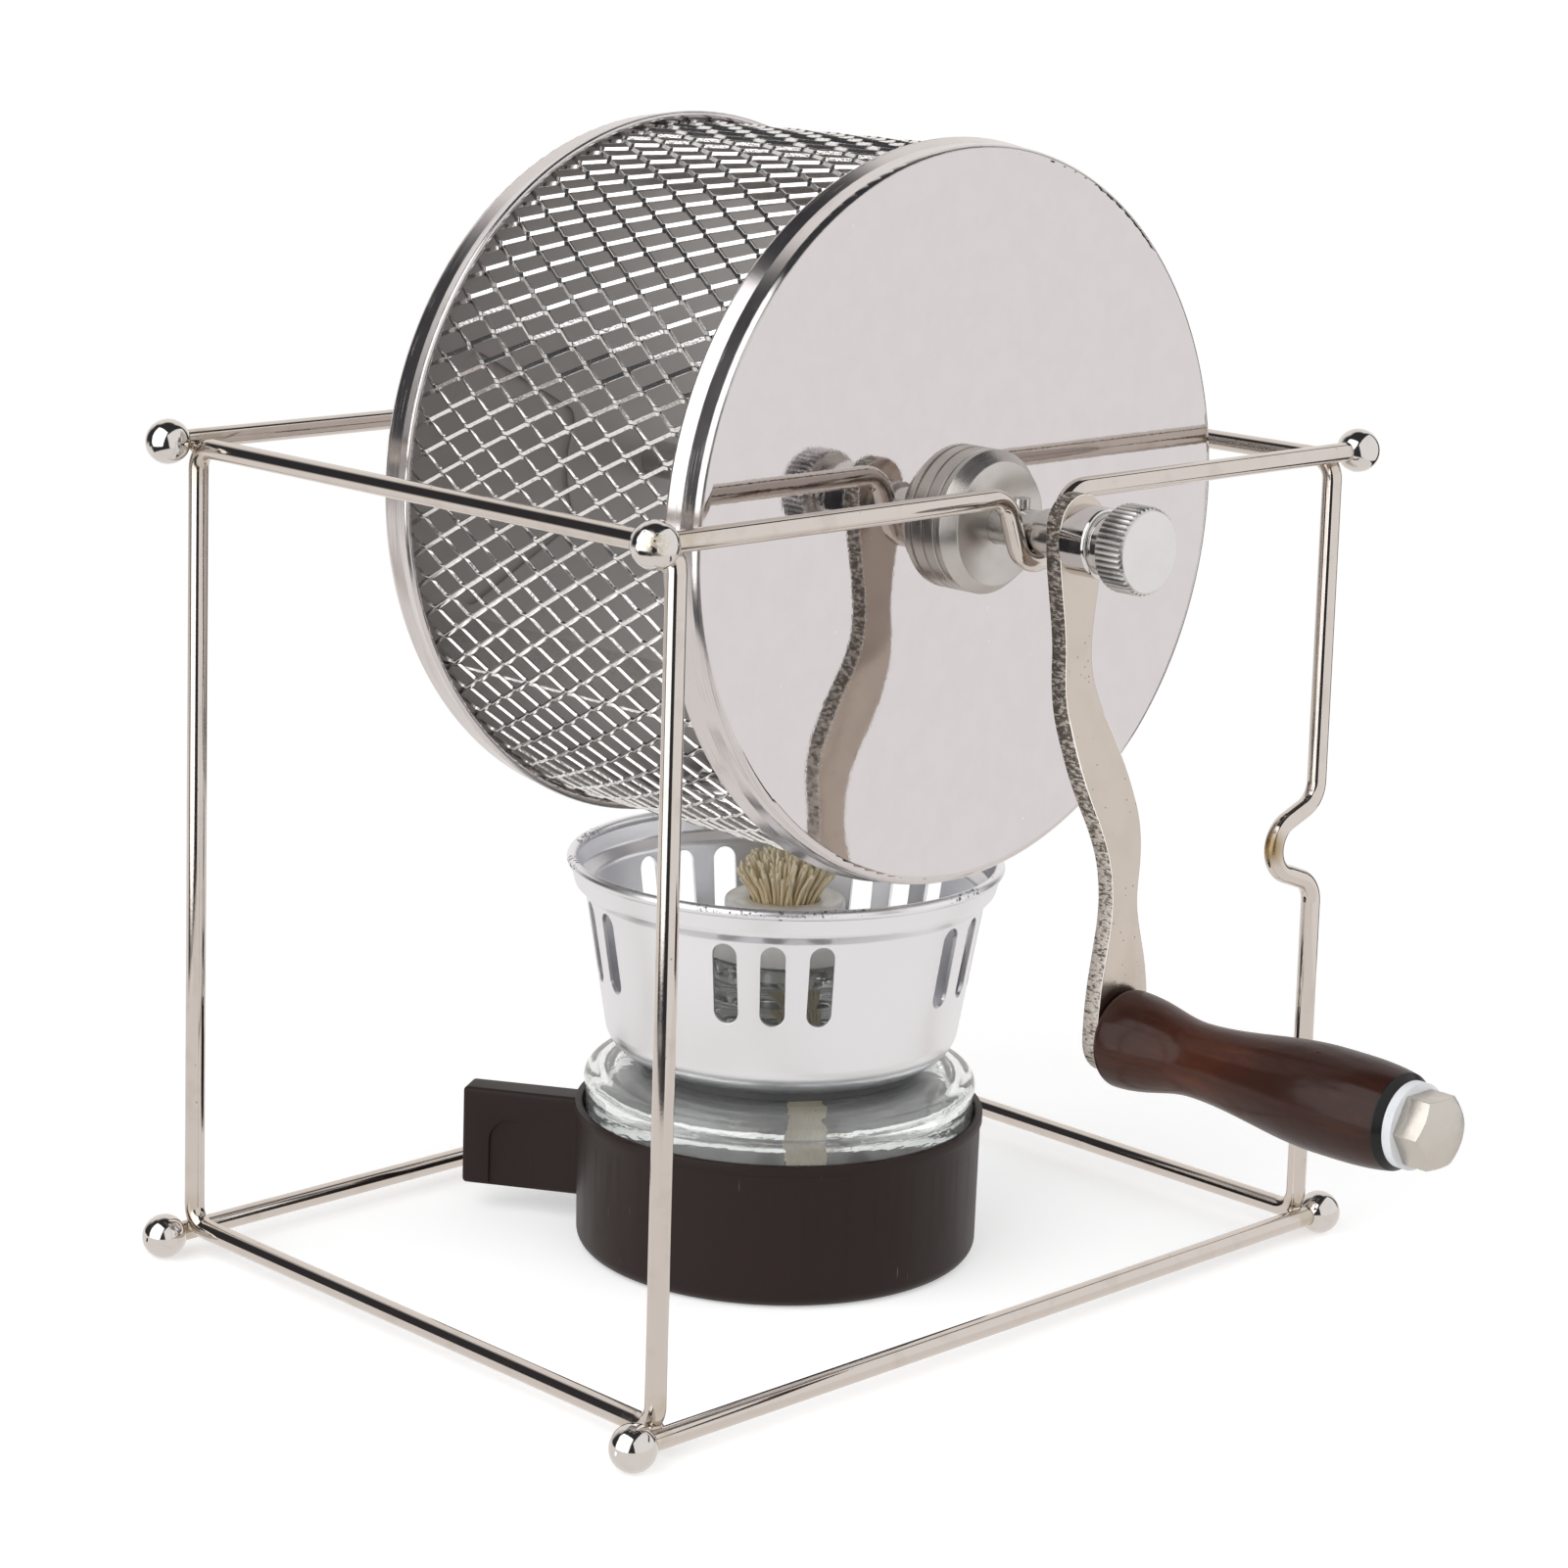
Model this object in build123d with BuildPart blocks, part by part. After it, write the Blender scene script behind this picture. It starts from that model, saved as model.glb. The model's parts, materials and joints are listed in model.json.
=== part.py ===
from build123d import *
import os
from math import cos, degrees, hypot, pi, radians, sin, sqrt, tan

# Hand-crank coffee roaster: a mesh drum on a wire stand, turned by a crank above a spirit burner.
# Millimetres. Z is up from the floor, the axle lies along Y and the crank is at the front, towards -Y.
# A "forward" distance is measured from the middle of the stand towards the front.

# Wire stand
wire_d = 4.2
ball_d = 9.4
stand_width = 204.4  # between ball centres along a cross rod
stand_depth = 148.8  # between the front and rear cross rods
stand_height = 170.8  # between the lower and upper cross rods
loop_inset = 6.7  # from a ball's centre in to the plane of its side loop
bend_radius = 4.5  # of a loop's corner, at the wire's centre line
weld_sink = 0.3  # how far the weld presses a rod into a loop's corner
socket_clearance = 0.02  # around a rod's end in its ball

# Dips in the wire, which the axle lies in
dip_slope = 70.0  # degrees, of a dip's two legs
dip_shoulder_radius = 6.0
cradle_clearance = 0.05  # between the axle and the wire
axle_drop = 7.5  # axle's centre below the upper rods' centre line
side_dip_height = 90.0  # middle of the right loop's dips above the floor

# Axle
axle_d = 8.0
axle_tail = 9.0  # past the rear rods' centre line
axle_shoulder = 8.2  # past the front rods' centre line, where the crank arm seats
axle_collar_d = 9.6  # thicker stretch between the front wire and the arm
spigot_d = 6.0  # the axle's front end, inside the arm, collar and nut
spigot_flats = 5.0
hub_fit = 0.02  # radial, between the axle and what is fixed on it
stop_screw_head_d = 3.6
stop_screw_head = 2.0
stop_screw_d = 2.5
stop_screw_depth = 2.5
stop_screw_socket_d = 1.5
stop_screw_socket_depth = 1.0
stop_gap = 0.5  # between the wire of a dip and the stops beside it

# Drum
drum_d = 150.0
drum_length = 95.2
drum_front_gap = 17.5  # from the front rods' centre line to the front plate
cap_sheet = 0.8
cap_band = 8.5
cap_edge_radius = 2.0
cap_flare = 0.9  # how far a band's edge turns out, towards the mesh
cap_flare_length = 3.0
mesh_sheet = 1.0
mesh_clearance = 0.05  # between the mesh and the bands around it
mesh_around = 38
mesh_along = 4
mesh_strand = 2.0
mesh_cut_margin = 1.0  # past both faces of the mesh, where its gaps are cut
hub_d = 29.2
hub_length = 7.7
hub_chamfer = 2.7  # along the axle
hub_face_d = 24.8
vane_count = 3
vane_direction = 90.0  # degrees from +X towards +Z, of the first vane
vane_height = 14.0
vane_sheet = 0.8
vane_gap = 0.2  # between a vane and the mesh

# Loading port in the rear plate and its rotary shutter
port_inner_r = 25.0
port_outer_r = 60.0
port_span = 56.0  # degrees
port_corner_radius = 4.0
port_direction = 180.0  # degrees from +X towards +Z, middle of the port
shutter_sheet = 0.8
shutter_overlap = 4.0  # past the port's edges
shutter_gap = 0.1  # on both faces of the shutter
shutter_pilot_d = 24.0
shutter_ring_d = 38.0
shutter_clearance = 0.06  # radial, around its pilot
knob_d = 9.0
knob_neck_d = 5.5
knob_neck = 2.6
knob_flare = 1.4
knob_height = 8.0
knob_edge_radius = 1.2

# Crank arm, a flat bar that steps outwards below the axle
arm_sheet = 3.9
crank_drop = 98.0  # from the axle down to the grip
crank_offset = 2.8  # from the axle sideways to the grip
arm_eye_width = 13.0
arm_upper_waist = 7.6
arm_belly_width = 12.9
arm_lower_waist = 7.4
arm_end_width = 15.0
arm_upper_waist_drop = 23.0
arm_belly_drop = 47.5
arm_lower_waist_drop = 70.0
arm_upper_waist_offset = 0.4
arm_belly_offset = 1.6
arm_lower_waist_offset = 2.1
arm_eye_rise = 2.5  # of the eye's rounded end above the axle
arm_step = 13.1  # how far its lower half stands in front of its eye
arm_bend_start = 31.0  # below the axle, where the bar turns outwards
arm_bend_end = 59.0  # below the axle, where it turns down again
arm_bend_radius = 30.0

# Collar and thumb nut in front of the arm
collar_d = 14.2
collar_length = 6.5
collar_step_d = 12.0
collar_step_length = 3.5
collar_shoulder_share = 0.727  # of the step's height that its rounded edge takes up
collar_edge_radius = 0.8  # at its front end
nut_d = 17.5
nut_length = 7.2
nut_chamfer = 0.8
nut_play = 0.1  # between the collar and the nut
nut_clearance = 0.05  # radial, around the spigot
nut_bore_depth = 5.2
spigot_end_gap = 0.6  # between the spigot's end and the bore's bottom
knurl_count = 44
knurl_depth = 0.55

# Wooden grip on its bolt
grip_length = 70.0
grip_root_d = 19.6
grip_waist_d = 14.7
grip_belly_d = 20.6
grip_end_d = 15.6
grip_waist_at = 20.0  # from the arm
grip_belly_at = 52.0
grip_root_radius = 2.0
grip_end_slope = 0.22  # how steeply the side falls at the outer end
grip_end_bevel = 1.5
grip_play = 0.1  # at each end of the grip
grip_clearance = 0.06  # radial, around the bolt
bolt_d = 8.0
bolt_head_flats = 13.0
bolt_head = 6.0
bolt_face_d = 12.3  # round top of the head
bolt_chamfer_slope = 30.0  # degrees
washer_d = 16.5
washer_sheet = 2.0

# Spirit burner
burner_x = 6.4
burner_y = -0.2
base_d = 88.4  # at the rim
base_taper = 0.8  # less at the foot, on the radius
base_height = 31.0
base_wall = 1.5
base_floor = 2.0
base_foot_radius = 3.0
base_lip = 0.4  # how far the rim's lip stands out
base_lip_height = 2.0
lug_direction = 121.8  # degrees from +X towards +Y
lug_reach = 70.9  # from the burner's centre
lug_thickness = 7.5
lug_top = 28.0
lug_height = 22.0
lug_edge_radius = 1.0
lug_recess_width = 10.5
lug_recess_height = 15.5
lug_recess_depth = 0.8
lug_recess_inset = 11.5  # from the lug's end to the middle of its recess
bottle_d = 85.0
bottle_wall = 2.5
bottle_shoulder = 39.6  # height of the shoulder's edge
bottle_shoulder_radius = 3.0
bottle_heel_radius = 4.0
bottle_top = 41.0  # height of the flat ring around the neck
bottle_top_d = 68.0
neck_d = 36.0
neck_top = 68.0
seat_d = 62.0  # rubber ring that the windshield stands on
seat_sheet = 2.0
neck_clearance = 0.3  # around the neck, inside the ring and the windshield
cup_foot_d = 73.5
cup_rim_d = 94.2
cup_rim_height = 86.2
cup_flare_height = 78.3  # where the wall turns out to a ledge
cup_wall_d = 85.2  # there
cup_ledge_d = 89.9
cup_ledge_height = 80.5  # where the ledge turns up to the rim
cup_sheet = 0.9
cup_corner_radius = 7.0
cup_flare_radius = 1.2
cup_ledge_radius = 1.5
cup_bead_d = 2.2
slot_length = 17.7
slot_width = 5.2
slot_height = 68.6  # middle of the slots above the floor
slot_groups = 5
slots_in_group = 3
slot_pitch = 13.8  # degrees within a group
slot_direction = 222.6  # degrees from +X towards +Y, middle of one group
holder_flange = 2.0
holder_d = 26.0
holder_top = 77.0
holder_plug = 7.0
holder_clearance = 0.1  # between the plug and the neck
wick_d = 14.0
wick_clearance = 0.2  # between the wick and its holder
wick_tail_d = 10.0
wick_tail_bottom = 7.0
wick_tuft_d = 24.0
wick_tuft_middle = 84.5
wick_tuft_top = 88.5

# Places that several pieces share
wire_r = wire_d / 2
ball_r = ball_d / 2
axle_r = axle_d / 2
drum_r = drum_d / 2
lower_rod_z = ball_r
upper_rod_z = ball_r + stand_height
axle_z = upper_rod_z - axle_drop
front_rod = stand_depth / 2
plate_front = front_rod - drum_front_gap
plate_rear = plate_front - drum_length
arm_back = front_rod + axle_shoulder
arm_front = arm_back + arm_sheet
arm_middle = arm_back + arm_sheet / 2
grip_seat = arm_front + arm_step
collar_front = arm_front + collar_length + collar_step_length
nut_back = collar_front + nut_play
spigot_end = nut_back + nut_bore_depth - spigot_end_gap
axle_bore_r = axle_r + hub_fit
mesh_outer_r = drum_r - cap_sheet - mesh_clearance
mesh_inner_r = mesh_outer_r - mesh_sheet
grip_z = axle_z - crank_drop
grip_back = grip_seat + grip_play
grip_front = grip_back + grip_length
washer_back = grip_front + grip_play
bolt_head_back = washer_back + washer_sheet
axle_axis = Axis((0, 0, axle_z), (0, -1, 0))
grip_axis = Axis((crank_offset, 0, grip_z), (0, -1, 0))
burner_axis = Axis((burner_x, burner_y, 0), (0, 0, 1))

# Profiles of turned pieces: local X runs forward along the axis and local Y is the radius.
axle_profile = Plane(origin=(0, 0, axle_z), x_dir=(0, -1, 0), z_dir=(-1, 0, 0))
grip_profile = Plane(origin=(crank_offset, 0, grip_z), x_dir=(0, -1, 0), z_dir=(-1, 0, 0))
# Profiles of the burner's pieces: local X is the radius and local Y is the height.
burner_profile = Plane(origin=(burner_x, burner_y, 0), x_dir=(1, 0, 0), z_dir=(0, -1, 0))


def across_axle(forward):
    """Plane square to the axle at a forward distance, facing the front, with its centre on the axle."""
    return Plane(origin=(0, -forward, axle_z), x_dir=(1, 0, 0), z_dir=(0, -1, 0))


def across_grip(forward):
    """Plane square to the grip's bolt at a forward distance, with its centre on the bolt."""
    return Plane(origin=(crank_offset, -forward, grip_z), x_dir=(1, 0, 0), z_dir=(0, -1, 0))


def facing_out(angle, radius):
    """Plane on the drum at an angle from +X towards +Z, facing outwards, with local X forward."""
    outward = Vector(cos(radians(angle)), 0, sin(radians(angle)))
    return Plane(origin=Vector(0, 0, axle_z) + outward * radius, x_dir=(0, -1, 0), z_dir=outward)


def burner_side(angle, radius, height):
    """Upright plane on the burner at an angle from +X towards +Y, facing outwards, with local Y up."""
    outward = Vector(cos(radians(angle)), sin(radians(angle)), 0)
    sideways = Vector(-sin(radians(angle)), cos(radians(angle)), 0)
    centre = Vector(burner_x, burner_y, height) + outward * radius
    return Plane(origin=centre, x_dir=sideways, z_dir=outward)


# A dip is a V in the wire with a round bottom that is concentric with the axle lying in it.
cradle_radius = axle_r + cradle_clearance + wire_r
dip_depth = axle_drop + cradle_radius / cos(radians(dip_slope))
dip_half_width = dip_depth / tan(radians(dip_slope))
dip_radii = [dip_shoulder_radius, cradle_radius, dip_shoulder_radius]

# A rod lies on the outside of a loop's round corner, at 45 degrees to both sides.
corner_offset = (bend_radius + wire_d - weld_sink) / sqrt(2) - bend_radius
post_y = front_rod - corner_offset
rail_low = lower_rod_z + corner_offset
rail_high = upper_rod_z - corner_offset
loop_x = stand_width / 2 - loop_inset
loop_corner = [bend_radius]

os.makedirs("parts", exist_ok=True)

# Side loops: closed wire rectangles along the axle. The right one has a dip in each post.
with BuildPart() as left_side_loop:
    with BuildLine(Plane.YZ.offset(-loop_x)) as left_path:
        FilletPolyline(
            (0, rail_low),
            (post_y, rail_low),
            (post_y, rail_high),
            (-post_y, rail_high),
            (-post_y, rail_low),
            radius=[0] + 4 * loop_corner,
            close=True,
        )
    with BuildSketch(Plane(origin=left_path.line @ 0, z_dir=left_path.line % 0)):
        Circle(wire_r)
    sweep()

right_corners = [
    (loop_x, 0, rail_low),
    (loop_x, post_y, rail_low),
    (loop_x, post_y, side_dip_height - dip_half_width),
    (loop_x - dip_depth, post_y, side_dip_height),
    (loop_x, post_y, side_dip_height + dip_half_width),
    (loop_x, post_y, rail_high),
    (loop_x, -post_y, rail_high),
    (loop_x, -post_y, side_dip_height + dip_half_width),
    (loop_x - dip_depth, -post_y, side_dip_height),
    (loop_x, -post_y, side_dip_height - dip_half_width),
    (loop_x, -post_y, rail_low),
]
right_radii = [0] + loop_corner + dip_radii + 2 * loop_corner + dip_radii + loop_corner

with BuildPart() as right_side_loop:
    with BuildLine() as right_path:
        FilletPolyline(*right_corners, radius=right_radii, close=True)
    with BuildSketch(Plane(origin=right_path.line @ 0, z_dir=right_path.line % 0)):
        Circle(wire_r)
    sweep()


# Cross rods: the upper two have a dip in the middle for the axle, the lower two are straight.
def upper_rod_corners(y):
    """Corners of an upper rod's centre line, from ball to ball."""
    return [
        (-stand_width / 2, y, upper_rod_z),
        (-dip_half_width, y, upper_rod_z),
        (0, y, upper_rod_z - dip_depth),
        (dip_half_width, y, upper_rod_z),
        (stand_width / 2, y, upper_rod_z),
    ]


with BuildPart() as front_upper_rod:
    with BuildLine() as front_rod_path:
        FilletPolyline(*upper_rod_corners(-front_rod), radius=dip_radii)
    with BuildSketch(Plane(origin=front_rod_path.line @ 0, z_dir=(1, 0, 0))):
        Circle(wire_r)
    sweep()

with BuildPart() as rear_upper_rod:
    with BuildLine() as rear_rod_path:
        FilletPolyline(*upper_rod_corners(front_rod), radius=dip_radii)
    with BuildSketch(Plane(origin=rear_rod_path.line @ 0, z_dir=(1, 0, 0))):
        Circle(wire_r)
    sweep()

with BuildPart() as front_lower_rod:
    with BuildSketch(Plane(origin=(-stand_width / 2, -front_rod, lower_rod_z), z_dir=(1, 0, 0))):
        Circle(wire_r)
    extrude(amount=stand_width)

with BuildPart() as rear_lower_rod:
    with BuildSketch(Plane(origin=(-stand_width / 2, front_rod, lower_rod_z), z_dir=(1, 0, 0))):
        Circle(wire_r)
    extrude(amount=stand_width)


# Ball ends, each with a socket to its centre for the end of its rod. The lower four are the feet.
def ball_places(height):
    """Planes at a level's four ball centres, each facing along its rod."""
    places = []
    for side in (-1, 1):
        for y in (-front_rod, front_rod):
            places.append(Plane(origin=(side * stand_width / 2, y, height), z_dir=(-side, 0, 0)))
    return places


with BuildPart() as upper_ball_ends:
    with Locations(*ball_places(upper_rod_z)):
        Sphere(ball_r)
    with BuildSketch(*ball_places(upper_rod_z)):
        Circle(wire_r + socket_clearance)
    extrude(amount=ball_d, mode=Mode.SUBTRACT)

with BuildPart() as ball_feet:
    with Locations(*ball_places(lower_rod_z)):
        Sphere(ball_r)
    with BuildSketch(*ball_places(lower_rod_z)):
        Circle(wire_r + socket_clearance)
    extrude(amount=ball_d, mode=Mode.SUBTRACT)


# Drum caps: pressed sheet plates with a turned band, rounded at the plate and flared at the mesh.
def cap_profile(face, inward):
    """Section of a cap whose plate's outer face is at a forward distance; inward is -1 or 1."""
    with BuildSketch(axle_profile) as section:
        with BuildLine():
            Polyline(
                (face, axle_bore_r),
                (face, drum_r),
                (face + inward * (cap_band - cap_flare_length), drum_r),
                (face + inward * cap_band, drum_r + cap_flare),
                (face + inward * cap_band, drum_r + cap_flare - cap_sheet),
                (face + inward * (cap_band - cap_flare_length), drum_r - cap_sheet),
                (face + inward * cap_sheet, drum_r - cap_sheet),
                (face + inward * cap_sheet, axle_bore_r),
                close=True,
            )
        make_face()
        outer = section.vertices().sort_by_distance((face, drum_r, 0))[0]
        fillet(outer, cap_edge_radius)
        inner = section.vertices().sort_by_distance((face + inward * cap_sheet, drum_r - cap_sheet, 0))[0]
        fillet(inner, cap_edge_radius - cap_sheet)
    return section.sketch


def sector(inner_r, outer_r, middle, span):
    """Ring sector between two radii, about a middle angle, all angles in degrees."""
    with BuildSketch() as face:
        with BuildLine():
            outer = CenterArc((0, 0), outer_r, middle - span / 2, span)
            inner = CenterArc((0, 0), inner_r, middle - span / 2, span)
            Line(outer @ 0, inner @ 0)
            Line(outer @ 1, inner @ 1)
        make_face()
    return face.sketch


with BuildPart() as front_cap:
    add(cap_profile(plate_front, -1))
    revolve(axis=axle_axis)

with BuildPart() as rear_cap:
    add(cap_profile(plate_rear, 1))
    revolve(axis=axle_axis)
    with BuildSketch(across_axle(plate_rear)) as port:
        add(sector(port_inner_r, port_outer_r, port_direction, port_span))
        fillet(port.vertices(), port_corner_radius)
    extrude(amount=cap_sheet, mode=Mode.SUBTRACT)

# Mesh wall: rolled expanded metal, with diamond gaps in staggered rows between the bands.
mesh_front = plate_front - cap_edge_radius
mesh_rear = plate_rear + cap_edge_radius
mesh_pitch_along = (drum_length - 2 * cap_band) / mesh_along
mesh_pitch_around = 2 * pi * mesh_outer_r / mesh_around
mesh_step = 360 / mesh_around
diamond_inradius = mesh_pitch_along * mesh_pitch_around / 2 / hypot(mesh_pitch_along, mesh_pitch_around)
diamond_share = 1 - mesh_strand / 2 / diamond_inradius
gap_half_length = diamond_share * mesh_pitch_along / 2
gap_half_width = diamond_share * mesh_pitch_around / 2
drum_middle = (plate_front + plate_rear) / 2
gap_corners = [(gap_half_length, 0), (0, gap_half_width), (-gap_half_length, 0), (0, -gap_half_width)]
gap_start_r = mesh_inner_r - mesh_cut_margin
full_rows = [facing_out(i * mesh_step, gap_start_r) for i in range(mesh_around)]
between_rows = [facing_out((i + 0.5) * mesh_step, gap_start_r) for i in range(mesh_around)]

with BuildPart() as drum_mesh:
    with BuildSketch(across_axle(mesh_rear)):
        Circle(mesh_outer_r)
        Circle(mesh_inner_r, mode=Mode.SUBTRACT)
    extrude(amount=mesh_front - mesh_rear)
    with BuildSketch(*full_rows):
        with Locations((drum_middle, 0)):
            with GridLocations(mesh_pitch_along, mesh_pitch_around, mesh_along, 1):
                Polygon(*gap_corners)
    with BuildSketch(*between_rows):
        with Locations((drum_middle, 0)):
            with GridLocations(mesh_pitch_along, mesh_pitch_around, mesh_along - 1, 1):
                Polygon(*gap_corners)
    extrude(amount=mesh_sheet + 2 * mesh_cut_margin, mode=Mode.SUBTRACT)

# Lifting vanes: strips along the drum between the two plates, just inside the mesh.
vane_middle_r = mesh_inner_r - vane_gap - vane_height / 2
with BuildPart() as mixing_vanes:
    with BuildSketch(across_axle(plate_rear + cap_sheet)):
        with PolarLocations(vane_middle_r, vane_count, start_angle=vane_direction):
            Rectangle(vane_height, vane_sheet)
    extrude(amount=drum_length - 2 * cap_sheet)

# Axle: a plain rod in the two dips, with a flatted spigot at the crank end and two stop screws.
stop_screw_offset = wire_r + stop_gap + stop_screw_head_d / 2
stop_screw_places = [
    Plane(origin=(0, -(front_rod - stop_screw_offset), axle_z + axle_r), z_dir=(0, 0, 1)),
    Plane(origin=(0, front_rod - stop_screw_offset, axle_z + axle_r), z_dir=(0, 0, 1)),
]


def spigot_section(clearance):
    """Round section with two flats, larger all round by a clearance."""
    with BuildSketch() as section:
        Circle(spigot_d / 2 + clearance)
        Rectangle(spigot_d + 2 * clearance, spigot_flats + 2 * clearance, mode=Mode.INTERSECT)
    return section.sketch


axle_collar_back = front_rod + wire_r + stop_gap
with BuildPart() as drum_shaft:
    with BuildSketch(across_axle(-front_rod - axle_tail)):
        Circle(axle_r)
    extrude(amount=arm_back + front_rod + axle_tail)
    with BuildSketch(across_axle(axle_collar_back)):
        Circle(axle_collar_d / 2)
    extrude(amount=arm_back - axle_collar_back)
    with BuildSketch(across_axle(arm_back)):
        add(spigot_section(0))
    extrude(amount=spigot_end - arm_back)
    with BuildSketch(*stop_screw_places):
        Circle(stop_screw_d / 2 + hub_fit)
    extrude(amount=-stop_screw_depth, mode=Mode.SUBTRACT)

with BuildPart() as axle_stop_screws:
    with BuildSketch(*stop_screw_places):
        Circle(stop_screw_head_d / 2)
    extrude(amount=stop_screw_head)
    with BuildSketch(*stop_screw_places):
        Circle(stop_screw_d / 2)
    extrude(amount=-stop_screw_depth)
    with BuildSketch(*[place.offset(stop_screw_head) for place in stop_screw_places]):
        RegularPolygon(stop_screw_socket_d / 2, 6)
    extrude(amount=-stop_screw_socket_depth, mode=Mode.SUBTRACT)

# Hubs: turned discs against the plates. The rear one stands on a pilot that the shutter turns on.
hub_r = hub_d / 2
shutter_room = shutter_sheet + 2 * shutter_gap

with BuildPart() as front_hub:
    with BuildSketch(axle_profile):
        with BuildLine():
            Polyline(
                (plate_front, axle_bore_r),
                (plate_front, hub_r),
                (plate_front + hub_length - hub_chamfer, hub_r),
                (plate_front + hub_length, hub_face_d / 2),
                (plate_front + hub_length, axle_bore_r),
                close=True,
            )
        make_face()
    revolve(axis=axle_axis)

with BuildPart() as rear_hub:
    with BuildSketch(axle_profile):
        with BuildLine():
            Polyline(
                (plate_rear, axle_bore_r),
                (plate_rear, shutter_pilot_d / 2),
                (plate_rear - shutter_room, shutter_pilot_d / 2),
                (plate_rear - shutter_room, hub_r),
                (plate_rear - hub_length + hub_chamfer, hub_r),
                (plate_rear - hub_length, hub_face_d / 2),
                (plate_rear - hub_length, axle_bore_r),
                close=True,
            )
        make_face()
    revolve(axis=axle_axis)

# Shutter: a ring on the rear hub's pilot with a sector over the port, and its knob.
shutter_front = plate_rear - shutter_gap
shutter_rear = shutter_front - shutter_sheet
shutter_bore_r = shutter_pilot_d / 2 + shutter_clearance
shutter_outer_r = port_outer_r + shutter_overlap
shutter_span = port_span + 2 * degrees(shutter_overlap / port_inner_r)
knob_r = (port_inner_r + port_outer_r) / 2

with BuildPart() as port_shutter:
    with BuildSketch(across_axle(shutter_rear)) as shutter_face:
        add(sector(shutter_bore_r, shutter_outer_r, port_direction, shutter_span))
        Circle(shutter_ring_d / 2)
        Circle(shutter_bore_r, mode=Mode.SUBTRACT)
        far_corners = shutter_face.vertices().group_by(SortBy.DISTANCE)[-1]
        fillet(far_corners, port_corner_radius)
    extrude(amount=shutter_sheet)

knob_plane = across_axle(shutter_rear)
knob_centre = knob_plane.from_local_coords(
    (knob_r * cos(radians(port_direction)), knob_r * sin(radians(port_direction)), 0)
)
knob_axis = Axis(knob_centre, (0, 1, 0))
knob_profile = Plane(origin=knob_centre, x_dir=(0, 1, 0), z_dir=(1, 0, 0))
with BuildPart() as shutter_knob:
    with BuildSketch(knob_profile) as knob_section:
        with BuildLine():
            Polyline(
                (0, 0),
                (0, knob_neck_d / 2),
                (knob_neck, knob_neck_d / 2),
                (knob_neck + knob_flare, knob_d / 2),
                (knob_height, knob_d / 2),
                (knob_height, 0),
                close=True,
            )
        make_face()
        knob_edge = knob_section.vertices().sort_by_distance((knob_height, knob_d / 2, 0))[0]
        fillet(knob_edge, knob_edge_radius)
    revolve(axis=knob_axis)

# Crank arm: its two edges are smooth curves through five stations, closed by round ends. Seen from
# the side, the bar follows a path with two bends.
arm_stations = [
    (arm_eye_rise, 0, arm_eye_width),
    (-arm_upper_waist_drop, arm_upper_waist_offset, arm_upper_waist),
    (-arm_belly_drop, arm_belly_offset, arm_belly_width),
    (-arm_lower_waist_drop, arm_lower_waist_offset, arm_lower_waist),
    (-crank_drop, crank_offset, arm_end_width),
]


def arm_edge(side):
    """Points down one edge of the arm; side is -1 or 1."""
    return [(offset + side * width / 2, height) for height, offset, width in arm_stations]


with BuildPart() as crank_arm:
    with BuildSketch(across_axle(arm_back)):
        with BuildLine():
            left_edge = Spline(*arm_edge(-1), tangents=[(0, -1), (0, -1)])
            RadiusArc(left_edge @ 1, arm_edge(1)[-1], -arm_end_width / 2)
            right_edge = Spline(*arm_edge(1), tangents=[(0, -1), (0, -1)])
            RadiusArc(right_edge @ 0, left_edge @ 0, -arm_eye_width / 2)
        make_face()
        add(spigot_section(hub_fit), mode=Mode.SUBTRACT)
        with Locations((crank_offset, -crank_drop)):
            Circle(bolt_d / 2 + hub_fit, mode=Mode.SUBTRACT)
    extrude(amount=arm_sheet + arm_step)
    with BuildSketch(axle_profile):
        with BuildLine():
            bar_path = FilletPolyline(
                (arm_middle, arm_eye_width),
                (arm_middle, -arm_bend_start),
                (arm_middle + arm_step, -arm_bend_end),
                (arm_middle + arm_step, -crank_drop - arm_end_width),
                radius=arm_bend_radius,
            )
            offset(bar_path, arm_sheet / 2, side=Side.BOTH)
        make_face()
    extrude(amount=crank_offset + arm_eye_width, both=True, mode=Mode.INTERSECT)

with BuildPart() as crank_collar:
    with BuildSketch(axle_profile) as collar_section:
        with BuildLine():
            Polyline(
                (arm_front, spigot_d / 2 + hub_fit),
                (arm_front, collar_d / 2),
                (arm_front + collar_length, collar_d / 2),
                (arm_front + collar_length, collar_step_d / 2),
                (collar_front, collar_step_d / 2),
                (collar_front, spigot_d / 2 + hub_fit),
                close=True,
            )
        make_face()
        shoulder = collar_section.vertices().sort_by_distance((arm_front + collar_length, collar_d / 2, 0))[0]
        fillet(shoulder, collar_shoulder_share * (collar_d - collar_step_d) / 2)
        nose = collar_section.vertices().sort_by_distance((collar_front, collar_step_d / 2, 0))[0]
        fillet(nose, collar_edge_radius)
    revolve(axis=axle_axis)

# Thumb nut: straight knurl, chamfered at both ends, with a blind bore for the spigot.
nut_r = nut_d / 2
nut_front = nut_back + nut_length
knurl_points = []
for tooth in range(2 * knurl_count):
    knurl_angle = pi * tooth / knurl_count
    knurl_r = nut_r - knurl_depth * (tooth % 2)
    knurl_points.append((knurl_r * cos(knurl_angle), knurl_r * sin(knurl_angle)))

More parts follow.
